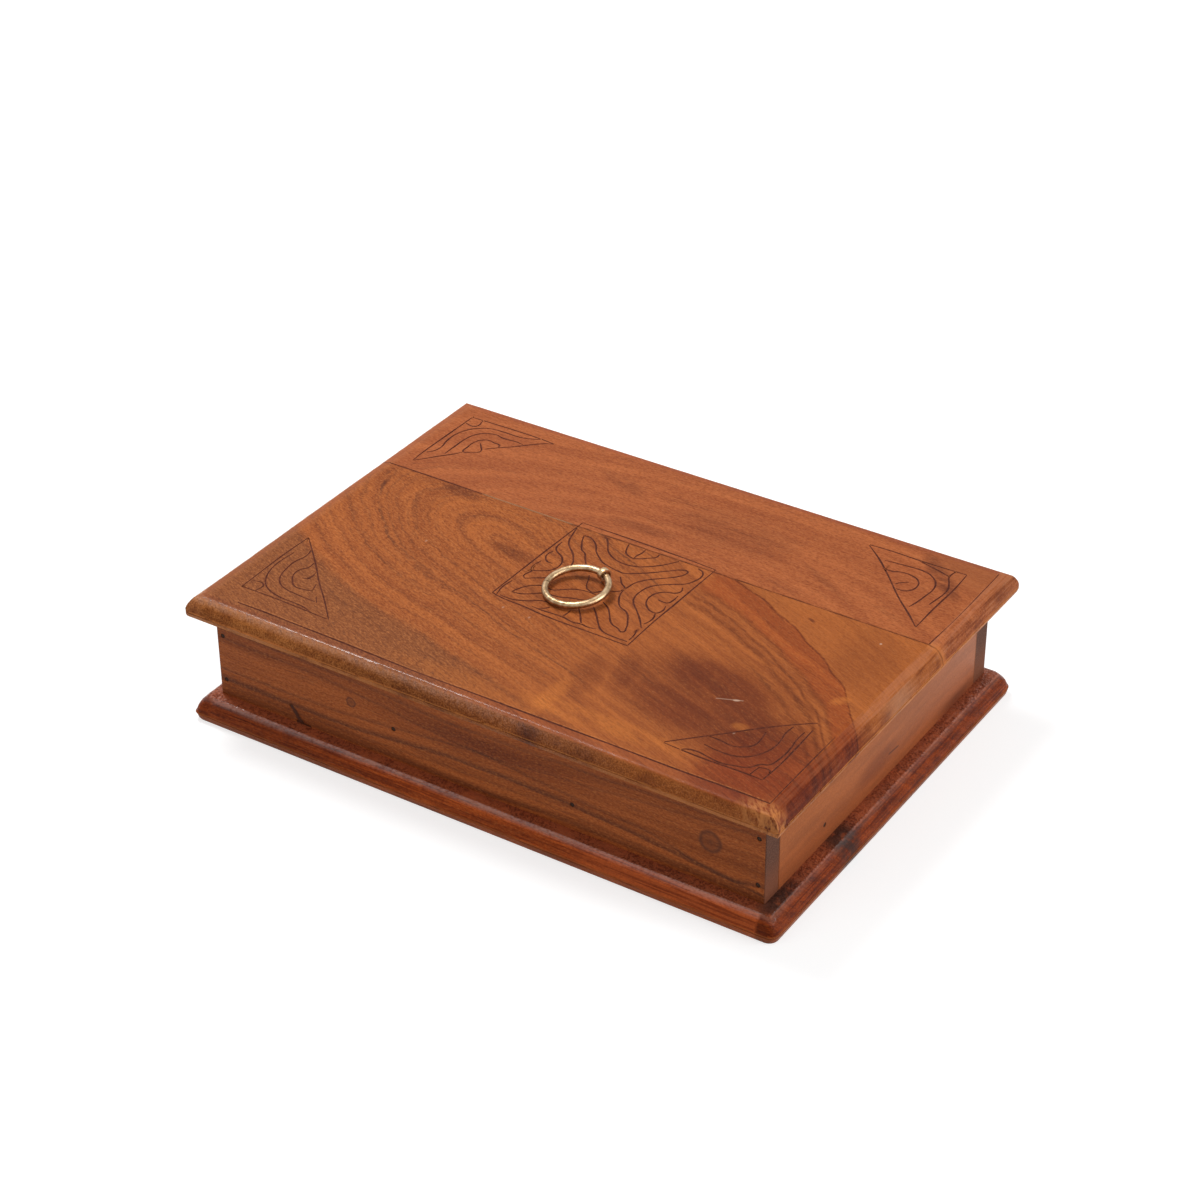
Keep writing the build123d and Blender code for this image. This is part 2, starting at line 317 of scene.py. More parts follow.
def select_parts(piece, kind, test):
    """In edit mode, selects the verts, edges or faces whose middle passes a test."""
    bpy.ops.mesh.select_mode(type={"verts": "VERT", "edges": "EDGE", "faces": "FACE"}[kind])
    bpy.ops.mesh.select_all(action="DESELECT")
    mesh = bmesh.from_edit_mesh(piece.data)
    for part in getattr(mesh, kind):
        if kind == "verts":
            chosen = test(part.co / MM)
        elif kind == "edges":
            chosen = all(test(vert.co / MM) for vert in part.verts)
        else:
            chosen = test(part.calc_center_median() / MM, part.normal)
        if chosen:
            part.select_set(True)
    mesh.select_flush_mode()
    bmesh.update_edit_mesh(piece.data)


def apply_modifier(piece, kind, **options):
    """Adds a modifier, sets it and applies it."""
    work_on(piece)
    modifier = piece.modifiers.new(kind.lower(), kind)
    for option, value in options.items():
        setattr(modifier, option, value)
    bpy.ops.object.modifier_apply(modifier=modifier.name)


def settle(piece):
    """Applies an object's place, merges doubles and turns its faces outwards."""
    work_on(piece)
    apply_place()
    edit(piece)
    bpy.ops.mesh.remove_doubles(threshold=0.002 * MM)
    bpy.ops.mesh.normals_make_consistent(inside=False)
    bpy.ops.object.mode_set(mode="OBJECT")


def turn_out(piece):
    """Flips a closed piece's faces if they were left pointing inwards."""
    edit(piece)
    if bmesh.from_edit_mesh(piece.data).calc_volume(signed=True) < 0:
        bpy.ops.mesh.flip_normals()
    bpy.ops.object.mode_set(mode="OBJECT")


def smooth(piece, degrees=32):
    """Shades a piece smooth, but for its sharp edges."""
    work_on(piece)
    bpy.ops.object.shade_smooth_by_angle(angle=math.radians(degrees))


def shade_board(board):
    """Shades a board smooth, its normals led by its larger faces."""
    smooth(board)
    apply_modifier(board, "WEIGHTED_NORMAL", keep_sharp=True, weight=100)


def twin(piece, name):
    """A copy of a piece with a mesh of its own."""
    made = piece.copy()
    made.data = piece.data.copy()
    made.name = name
    return link(made)


def discard(*pieces):
    """Removes helpers that have done their work."""
    for piece in pieces:
        bpy.data.objects.remove(piece)


def dress(piece, body, slot, *materials, stands_for=()):
    """Gives a new piece its materials, its body and the nodes that it stands for."""
    piece.data.materials.clear()
    for material in materials:
        piece.data.materials.append(material)
    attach(piece, body)
    if stands_for:
        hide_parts(*stands_for)


def finish_nodes(material, *nodes):
    """Gives nodes of the frame their material."""
    for node in nodes:
        mesh = frame["nodes"][node].data
        mesh.materials.clear()
        mesh.materials.append(material)


# Boards


def board_section(sizes, thickness, scratch):
    """A moulded edge as (inset, height), from its foot up to the flat top."""
    crest = thickness - sizes.crest_drop
    places = [(sizes.foot_inset + sizes.foot_bevel, 0), (sizes.foot_inset, sizes.foot_bevel)]
    for below, cut in ((3, 0), (2, 1), (1, 0), (0.3, 0)):
        height = sizes.band - below * scratch
        lean = sizes.foot_inset * (sizes.band - height) / (sizes.band - sizes.foot_bevel)
        places.append((lean + cut * scratch, height))
    places.append((sizes.step * 0.6, sizes.band))
    run = Vector((sizes.crest_inset - sizes.step, crest - sizes.band))
    out = Vector((-run.y, run.x)).normalized()
    for index in range(1, 8):
        share = index / 8
        place = Vector((sizes.step, sizes.band)) + run * share
        place += out * 4 * sizes.swell * share * (1 - share)
        places.append(tuple(place))
    shelf = sizes.shelf_inset - sizes.crest_inset
    before, arris = place, Vector((sizes.crest_inset, crest))
    after = Vector((sizes.crest_inset + 0.28 * shelf, crest + 0.3 * sizes.crest_drop))
    for share in (0.25, 0.5, 0.75, 1.0):
        bend = before.lerp(arris, share).lerp(arris.lerp(after, share), share)
        places.append(tuple(bend))
    places.append((sizes.crest_inset + 0.6 * shelf, crest + 0.5 * sizes.crest_drop))
    places.append((sizes.shelf_inset, thickness))
    return places


def moulded_board(name, low, high, places, corners, spacing, mitred=True):
    """A board whose edge follows places, its corners rounded by a radius each.

    A mitred board's mouldings meet in a mitre and only the corner's outside is
    rounded, and otherwise the whole moulding goes round.
    """
    board = begin("plane", name, size=MM, location=(0, 0, low.z * MM))
    reach = [(high[axis] - low[axis]) / 2 for axis in (0, 1)]
    half = [length - places[0][0] for length in reach]
    board.scale = (2 * half[0], 2 * half[1], 1)
    apply_place()
    edit(board)
    if not mitred:
        round_corners(board, corners, half)
    for axis in (0, 1):
        across = 1 - axis
        select_parts(board, "edges", lambda place: abs(abs(place[across]) - half[across]) < CLOSE)
        select_straight(board, axis)
        bpy.ops.mesh.subdivide(number_cuts=int(2 * half[axis] / spacing))
    bpy.ops.mesh.select_mode(type="FACE")
    bpy.ops.mesh.select_all(action="SELECT")
    height = 0
    for inset, rise in places[1:]:
        extrude((0, 0, (rise - height) * MM))
        new_half = [length - inset for length in reach]
        resize(new_half[0] / half[0], new_half[1] / half[1], 1)
        half, height = new_half, rise
    settle(board)
    if mitred:
        block = begin("plane", "corner_block", size=MM, location=(0, 0, (low.z - 1) * MM))
        block.scale = (high.x - low.x, high.y - low.y, 1)
        apply_place()
        edit(block)
        round_corners(block, corners, (high.x, high.y))
        bpy.ops.mesh.select_all(action="SELECT")
        extrude((0, 0, (high.z - low.z + 2) * MM))
        settle(block)
        apply_modifier(board, "BOOLEAN", operation="INTERSECT", object=block, solver="MANIFOLD")
        discard(block)
        settle(board)
    return board


def round_corners(sheet, corners, half):
    """In edit mode, rounds the corners of a flat sheet by a radius each."""
    for (side_x, side_y), radius in corners.items():
        corner = Vector((side_x * half[0], side_y * half[1]))
        select_parts(
            sheet, "verts",
            lambda place: abs(place.x - corner.x) < CLOSE and abs(place.y - corner.y) < CLOSE,
        )
        bpy.ops.mesh.bevel(offset=radius * MM, segments=8, affect="VERTICES")


def drift_front(board, high, low, places, sizes, hand):
    """Turns the front moulding's lines a little, as a plane that wandered in left them."""
    edit(board)
    for inset, rise in places:
        if inset <= sizes.step or rise <= sizes.band:
            continue
        y = inset - high.y
        select_parts(
            board, "verts",
            lambda place: abs(place.y - y) < 2 * CLOSE
            and abs(place.z - low.z - rise) < 2 * CLOSE,
        )
        share = min(inset / sizes.crest_inset, 1.0)
        if inset > sizes.crest_inset:
            share -= 0.3 * (inset - sizes.crest_inset) / (sizes.shelf_inset - sizes.crest_inset)
        bpy.ops.transform.rotate(
            value=hand.front_drift * share, orient_axis="Z",
            center_override=(hand.drift_middle * MM, y * MM, 0),
        )
    bpy.ops.object.mode_set(mode="OBJECT")


def select_straight(board, axis):
    """Keeps only the selected edges that run along one axis."""
    mesh = bmesh.from_edit_mesh(board.data)
    for edge in mesh.edges:
        run = edge.verts[1].co - edge.verts[0].co
        if abs(run[1 - axis]) > abs(run[axis]):
            edge.select_set(False)
    mesh.select_flush_mode()
    bmesh.update_edit_mesh(board.data)


def edge_distance(place, high):
    """How far in from a board's nearest edge a place lies."""
    return min(high.x - abs(place.x), high.y - abs(place.y))


def hand_plane(board, low, high, inner_limit, hand):
    """Wavers and chatters the moulded edge, inwards only, less beyond the inner limit."""
    group = board.vertex_groups.new(name="moulding")
    for vertex in board.data.vertices:
        place = vertex.co / MM
        if low.z + 0.2 < place.z < high.z - CLOSE:
            on_shelf = edge_distance(place, high) > inner_limit
            group.add([vertex.index], 0.3 if on_shelf else 1.0, "REPLACE")
    for name, depth, size in (
        ("long waver", hand.waver, hand.waver_length),
        ("plane chatter", hand.chatter, hand.chatter_length),
    ):
        texture = bpy.data.textures.new(name, "CLOUDS")
        texture.noise_scale = size * MM
        apply_modifier(
            board, "DISPLACE", texture=texture, texture_coords="LOCAL",
            vertex_group=group.name, strength=depth * MM, mid_level=1.0,
        )


def panel_top(board, top, panel):
    """Divides the flat top into small faces, so that cuts in it stay clean."""
    edit(board)
    for axis in (0, 1):
        reach = max(vertex.co[axis] for vertex in board.data.vertices) / MM
        count = int(2 * reach / panel)
        for step in range(1, count):
            select_parts(
                board, "faces",
                lambda place, normal: normal.z > 0.999 and abs(place.z - top) < CLOSE,
            )
            place, normal = Vector(), Vector()
            place[axis] = (step / count * 2 - 1) * reach * MM
            normal[axis] = 1
            bpy.ops.mesh.bisect(plane_co=place, plane_no=normal)
    bpy.ops.object.mode_set(mode="OBJECT")


def cut_at(board, y, slant, keep_front, arris, top):
    """Cuts a board along its joint, keeps one side and rounds the joint's upper edge."""
    edit(board)
    bpy.ops.mesh.bisect(
        plane_co=(0, y * MM, 0), plane_no=(-math.sin(slant), math.cos(slant), 0),
        use_fill=True, clear_outer=keep_front, clear_inner=not keep_front,
    )
    slope = math.tan(slant)
    select_parts(
        board, "edges",
        lambda place: abs(place.y - y - slope * place.x) < 2 * CLOSE
        and abs(place.z - top) < 2 * CLOSE,
    )
    bpy.ops.mesh.bevel(offset=arris * MM, segments=2)
    settle(board)
    turn_out(board)


def split_board(board, front_name, rear_name, joint, slant, hand, top):
    """Cuts a board along its joint into its front and its rear one."""
    rear = twin(board, rear_name)
    board.name = front_name
    cut_at(board, joint - hand.seam_gap, slant, True, hand.seam_arris, top)
    cut_at(rear, joint + hand.seam_gap, slant, False, hand.seam_arris, top)
    return board, rear


# Carved lines, in millimetres on the lid, each through a few points

SQUARE_LINES = [
    [(-42.7, 44.8), (-43.6, 12), (-44.1, -22), (-44.3, -38)],
    [(-44.3, -38), (-40, -39.2), (-23, -40.4), (-9, -41.9), (20, -42.4), (41.5, -42.6)],
    [(42.1, 42.6), (41.6, 22), (41.3, 2), (40.8, -16), (41.2, -42.6)],
    [(-42.9, 45), (-10, 44.6), (20, 43.7), (42.1, 42.5)],
    [(-42.2, -23), (-43, -31), (-41.6, -38.2)],
    [(-9.9, 39.9), (-8.6, 35.5), (-6.6, 31.6), (-3.4, 29.6), (-0.4, 29.1), (2.2, 30.3),
     (6, 33.4), (9.2, 36.6), (9.3, 39.6)],
    [(0.5, 39.9), (0.6, 36), (-0.3, 32.4), (-0.3, 29.4)],
    [(-24.9, 39.9), (-20.9, 35.9), (-18.4, 32.2), (-15.4, 27.9), (-11, 24.5), (-6.6, 22.6),
     (-0.6, 21.8), (5.8, 23.3), (10.1, 26.1), (14.6, 30), (18.4, 34.7), (21.4, 39.4)],
    [(-34.9, 34.6), (-31.4, 34.6), (-27.6, 32.6), (-23.4, 28.4), (-20.6, 24.2), (-15.6, 19.8),
     (-12.4, 17.3), (-6, 15.2), (0, 14.1), (3, 14), (9, 17.5), (14.6, 21.8), (21.4, 28),
     (27, 32.8), (30.6, 33.2), (30.9, 30.4), (28.4, 25.9), (25, 22.4), (20.2, 18.2),
     (16, 13.9), (13, 8.6), (12.2, 3.9), (11.6, 0.9)],
    [(-34.9, 34.6), (-33.4, 30.6), (-30.6, 25.4), (-28, 21.6), (-24.8, 19.6), (-21.6, 15),
     (-17.6, 10)],
    [(-42.6, 39.9), (-41, 33), (-38.2, 24.6), (-34.9, 20.5), (-31, 17), (-27, 11.9),
     (-24.9, 8), (-24.3, 3), (-25.6, -4), (-28.6, -11), (-33.6, -14.6), (-38, -17.9)],
    [(-41.2, 22.8), (-40.8, 16.8), (-38.6, 13.6), (-34, 10.8), (-30.6, 6.8), (-29.3, 1.8),
     (-30.4, -3), (-34.4, -6.9), (-39.4, -8.4), (-40.8, -3.4), (-40.2, 1.2)],
    [(-40.2, 12.8), (-41, 8.4), (-39.8, 4.8), (-37, 2.3), (-33.6, 2)],
    [(-40.6, -2.4), (-40.2, -6.4), (-38.9, -9.7), (-39.9, -15.4), (-38, -17.9)],
    [(-36.4, -32), (-35.1, -28), (-32.8, -23.8), (-29, -20.2), (-24.4, -18.4), (-19.6, -19.4),
     (-15.4, -16.6), (-10.6, -13), (-5.6, -11.3), (2, -11.1)],
    [(-36.4, -32), (-31.4, -31.2), (-26.4, -28.2), (-21.8, -24.6), (-16, -23.6), (-11.4, -22.8),
     (-7.4, -20.9), (-0.5, -18.9), (6, -15.6)],
    [(-39.9, -37.7), (-34.4, -38.2), (-29, -37), (-24.3, -34.8), (-18.6, -31), (-12, -30.6)],
    [(-15.5, -37.6), (-12.9, -35.8), (-11.4, -33.6)],
    [(-20, -38), (-13, -38.4), (-6, -38), (-1.4, -38), (1.6, -38.4), (6, -39.2), (10.8, -38.4),
     (15, -39), (19.6, -38.2)],
    [(-0.8, -30.6), (-0.8, -35), (-1.4, -37.9)],
    [(1.2, -26.4), (5.2, -30.9), (8.3, -35.1), (10.8, -38.4)],
    [(7.4, -21.8), (11.4, -25.8), (15.2, -30.2), (18.4, -34), (21.6, -37.1), (25.4, -38.9),
     (31, -39.5), (39, -39.5)],
    [(9, -15.2), (13.9, -18.3), (17.8, -22.8), (21.2, -27.4), (24.2, -30.2), (28.4, -31.7),
     (32.4, -33.3), (32, -29), (29.6, -24), (24.2, -16.7), (18.6, -14), (15, -9.4),
     (12.8, -5), (11.6, 0.9)],
    [(33.6, 38.6), (37.4, 36.9), (39.2, 33), (38.6, 28), (36, 22.6), (32.4, 19.8),
     (28.8, 17.3), (24.3, 13.7), (21.2, 9.4), (19.9, 3), (20.2, -2.4), (22.6, -7.4),
     (27.4, -12.2), (33.2, -18.3), (38.6, -25.2)],
    [(36.3, 18.6), (37.7, 15), (36.3, 12.2), (32, 10.4), (28.6, 7.8), (26.8, 3.6),
     (27.4, -2.4), (30.1, -6.4), (34, -9.2), (37.6, -9.2), (39.2, -5.4), (38.3, -1.2)],
    [(38.6, 10.4), (38.6, 5.4), (37.6, 2), (34.4, 1.5), (31.6, 1.9)],
    [(37.4, -10), (38.8, -14), (38.7, -18.2), (37.6, -21.4)],
    [(37.6, -28), (38.9, -32.4), (39.2, -38)],
    [(-11.2, 3), (-1.8, -10.2), (3.4, -6.4), (11.6, 0.9), (7.4, 5.2), (3.4, 10.2)],
]
REAR_LEFT_LINES = [
    [(-159.1, 109.6), (-159.6, 84), (-159.8, 62), (-159.4, 50.6)],
    [(-159.4, 108.4), (-141.6, 108.8), (-113, 108.5), (-102.3, 107.6)],
    [(-102.3, 107.6), (-107.3, 105.4), (-113, 100.4), (-120.2, 93.2), (-126, 88.2),
     (-132.6, 82.2)],
    [(-140.9, 73.2), (-144, 68.6), (-149.2, 62.6), (-155.9, 54.4), (-159.4, 50.6)],
    [(-151.9, 109), (-151.8, 100.6), (-159.3, 101.1)],
    [(-111.6, 108.4), (-116.6, 105.8), (-122, 104), (-134, 103.8), (-143, 103), (-149, 99.6),
     (-153.2, 95), (-155.8, 88), (-156, 79), (-154.5, 71), (-155.6, 65.4), (-158.2, 62.3)],
    [(-117.3, 97.8), (-123, 98.4), (-131, 97.8), (-136, 99), (-141, 97.6), (-145.9, 93.4),
     (-148.2, 86), (-148.5, 76), (-148.6, 66.2)],
    [(-127.2, 87.4), (-128, 90.2), (-132.3, 90.8), (-136, 91.5), (-139.6, 89.8),
     (-141.9, 85.4), (-142, 79), (-141, 73.4), (-137, 75.2), (-133.2, 77.4)],
    [(-138.4, 86.3), (-135.6, 83), (-133.4, 80.2), (-133.1, 77.4)],
]
FRONT_LEFT_LINES = [
    [(-158, -45.8), (-158.5, -68), (-158, -88), (-157.6, -103)],
    [(-157.6, -102.9), (-140, -102.7), (-122, -103.2), (-101.2, -104.1)],
    [(-158, -45.8), (-148.7, -54.9), (-136.6, -67), (-127.3, -77), (-113, -90.8), (-100.3, -104)],
    [(-157.4, -95.4), (-149.2, -95.4), (-149.1, -102.9)],
    [(-155.2, -62), (-156, -75.7), (-154.8, -83), (-152.2, -89.4), (-148.6, -94.4),
     (-143.4, -98), (-135.2, -100.4), (-124, -100.9), (-118, -101.6), (-113.6, -103)],
    [(-148.8, -55.4), (-147.6, -61.4), (-149.2, -68.8), (-148.7, -76.6), (-146.9, -84),
     (-143.6, -89), (-138.6, -92.2), (-128.7, -93.8), (-116.6, -94.4)],
    [(-139.9, -64.2), (-139.5, -69.4), (-142, -74), (-141.8, -79.6), (-139, -84.2),
     (-134.4, -88.2), (-129.4, -88.2), (-124, -86.8)],
    [(-133.2, -71.6), (-132.6, -75.8), (-133.2, -78.6), (-136, -79.8)],
    [(-126.2, -80.6), (-124, -86.6)],
    [(-118.9, -90.2), (-115.2, -94.6)],
]
REAR_RIGHT_LINES = [
    [(98.1, 107.8), (110, 108.3), (130, 107.8), (155, 108.3)],
    [(155.2, 108.3), (155.9, 92), (155.4, 71), (155.6, 50)],
    [(98.1, 107.2), (109.9, 97), (120.6, 86), (134.9, 70.4), (147.7, 58.2), (155.6, 50)],
    [(148.8, 108.3), (148.3, 101.4), (150.8, 96.4), (152.9, 91.4), (153.4, 85.4), (152.6, 79),
     (151.6, 72.6)],
    [(128, 107.4), (136, 105.4), (141.3, 104), (148.3, 101.8)],
    [(112, 98.3), (123.4, 99.4), (136.3, 99.3), (141, 96.9), (145.1, 92.4), (146.8, 86),
     (146.2, 79), (145, 70), (143.8, 65.4)],
    [(114.9, 90.8), (121.3, 90.9), (124, 92.3), (132, 92.2), (136, 90), (138.4, 85),
     (137.4, 79.8), (134.4, 77.2), (129.8, 76.8)],
    [(127.7, 81), (129.2, 83), (133, 85.5)],
]
FRONT_RIGHT_LINES = [
    [(154.9, -50.2), (144.9, -58.4), (134.9, -67.6), (119.2, -84), (109.9, -93.4),
     (100.6, -103)],
    [(100.6, -103.8), (120.6, -104.7), (148.4, -104.3), (155.6, -104.6)],
    [(155.9, -56.9), (156.4, -75), (156.5, -90), (155.6, -104)],
    [(153.4, -60.4), (153.2, -67.6), (154.2, -75), (154, -86), (152.2, -92.4), (148.8, -94.2),
     (144.8, -99.6), (139.6, -101.5), (132, -103.3), (124.6, -102.4), (118, -101.4),
     (112.6, -102.4), (109.9, -104.6)],
    [(149.1, -96.6), (154.6, -96.1), (155.6, -97.7)],
    [(149.1, -96.8), (148.4, -103.9)],
    [(146.6, -59), (146, -65.6), (147.1, -73), (146.9, -80), (144.8, -86), (140.6, -91.9),
     (135.4, -94.8), (126, -95.6), (117.7, -94.6)],
    [(137.6, -70.2), (138.6, -77), (138.2, -82.4), (135, -86), (129.9, -88.4), (122, -87.6),
     (115.6, -87.6)],
]
OPEN_SEAM = [(-176, 41.6), (-150, 41.5), (-128, 41.4), (-106, 41.2)]
BORDER_LINES = [
    [(-150, -116.1), (-134, -115.9), (-118, -116.3), (-80, -117.1), (-40, -118.3), (0, -118.5),
     (40, -118.6), (80, -118.6), (120, -118.9), (150, -118.5), (168, -118.6)],
    [(168.6, 40), (169.1, 60), (169.2, 96), (168.9, 119.6)],
]
FAINT_BORDER = [(167.8, -118), (167.6, -80), (167.7, -56)]


def line_cutter(name, lines, half_width, knife):
    """Square tubes along the lines, one corner down, so that they cut V grooves."""
    curve = bpy.data.curves.new(name, "CURVE")
    curve.dimensions = "3D"
    curve.twist_mode = "Z_UP"
    curve.bevel_depth = (half_width + knife.lift) * MM
    curve.bevel_resolution = 0
    curve.use_fill_caps = True
    curve.resolution_u = knife.curve_steps
    for number, line in enumerate(lines):
        spline = curve.splines.new("BEZIER")
        spline.bezier_points.add(len(line) - 1)
        for index, (point, (x, y)) in enumerate(zip(spline.bezier_points, line)):
            point.co = (x * MM, y * MM, (LID_TOP + knife.lift) * MM)
            point.handle_left_type = "AUTO"
            point.handle_right_type = "AUTO"
            point.radius = 1 + 0.16 * math.sin(2.4 * index + 1.7 * number)
        spline.bezier_points[0].radius *= 0.72
        spline.bezier_points[-1].radius *= 0.72
    cutter = link(bpy.data.objects.new(name, curve))
    work_on(cutter)
    bpy.ops.object.convert(target="MESH")
    edit(cutter)
    resize(1, 1, knife.depth, middle=(0, 0, LID_TOP * MM))
    settle(cutter)
    return cutter


def slot_cutter(metal):
    """The slot that the staple's legs fill in the lid, with a little play."""
    play, depth = 0.3, 40
    slot = begin("cube", "slot_cutter", size=MM, location=(0, 0, LID_TOP * MM))
    slot.scale = (2 * metal.strip + metal.slot + play, metal.strip_width + play, depth)
    slot.rotation_euler = (0, 0, math.atan2(HEADING.y, HEADING.x))
    settle(slot)
    return slot


def cut_away(piece, *cutters):
    """Cuts the cutters' shapes out of a piece."""
    for cutter in cutters:
        apply_modifier(
            piece, "BOOLEAN", operation="DIFFERENCE", object=cutter, solver="MANIFOLD"
        )


def mark_faces(piece, index, test):
    """Gives the faces that pass a test the piece's material of that index."""
    for face in piece.data.polygons:
        if test(face.center / MM, face.normal):
            face.material_index = index


# Finishes


class Value:
    """A number in a finish. Arithmetic on it adds Math nodes."""

    def __init__(self, finish, socket):
        self.finish = finish
        self.socket = socket

    def output(self, key):
        """Another output of the node that this value comes from."""
        return Value(self.finish, self.socket.node.outputs[key])

    def math(self, operation, *others):
        """A Math node on this value and others."""
        inputs = dict(enumerate((self, *others)))
        return self.finish.node("ShaderNodeMath", {"operation": operation}, inputs)

    __add__ = __radd__ = partialmethod(math, "ADD")
    __sub__ = partialmethod(math, "SUBTRACT")
    __mul__ = __rmul__ = partialmethod(math, "MULTIPLY")
    __truediv__ = partialmethod(math, "DIVIDE")
    __abs__ = partialmethod(math, "ABSOLUTE")
    low = partialmethod(math, "MINIMUM")
    high = partialmethod(math, "MAXIMUM")

    def __rsub__(self, other):
        return self * -1 + other

    def rise(self, start, end):
        """0 before start, 1 after end and smooth between; end may be the lower."""
        if start > end:
            return 1 - self.rise(end, start)
        inputs = {0: self, 1: start, 2: end, 3: 0.0, 4: 1.0}
        return self.finish.node("ShaderNodeMapRange", {"interpolation_type": "SMOOTHSTEP"}, inputs)

    def near(self, middle, reach):
        """1 at middle, falling to 0 at reach away."""
        return abs(self - middle).rise(reach, 0.0)


def squares(first, second):
    """The sum of two values' squares."""
    return first * first + second * second


def distance(first, second):
    """How far off a place lies whose two offsets are given."""
    return squares(first, second).math("SQRT")


def turned(across, up, turn):
    """Two offsets, read along axes turned by an angle."""
    sine, cosine = math.sin(turn), math.cos(turn)
    return across * cosine + up * sine, up * cosine - across * sine


class NodeTree:
    """A tree of shader nodes, all added by one method."""

    def __init__(self, owner):
        owner.use_nodes = True
        self.tree = owner.node_tree
        self.tree.nodes.clear()

    def node(self, kind, options, inputs, output=0):
        """Adds a node: its options are set first, then its sockets are set or linked."""
        made = self.tree.nodes.new(kind)
        for option, value in options.items():
            if option == "stops":
                ramp = made.color_ramp
                ramp.interpolation = "CARDINAL"
                while len(ramp.elements) < len(value):
                    ramp.elements.new(1.0)
                for element, (place, colour) in zip(ramp.elements, value):
                    element.position = place
                    element.color = (*colour, 1)
            else:
                setattr(made, option, value)
        for key, value in inputs.items():
            if isinstance(value, Value):
                self.tree.links.new(value.socket, made.inputs[key])
            else:
                made.inputs[key].default_value = value
        return Value(self, made.outputs[output]) if made.outputs else None

    def white_to_camera(self, plain, white):
        """Shows the white shader to camera, glossy and transmission rays, else the plain."""
        path = self.node("ShaderNodeLightPath", {}, {})
        seen = path.output("Is Glossy Ray").high(path.output("Is Transmission Ray")).high(path)
        return self.node("ShaderNodeMixShader", {}, {0: seen, 1: plain, 2: white})


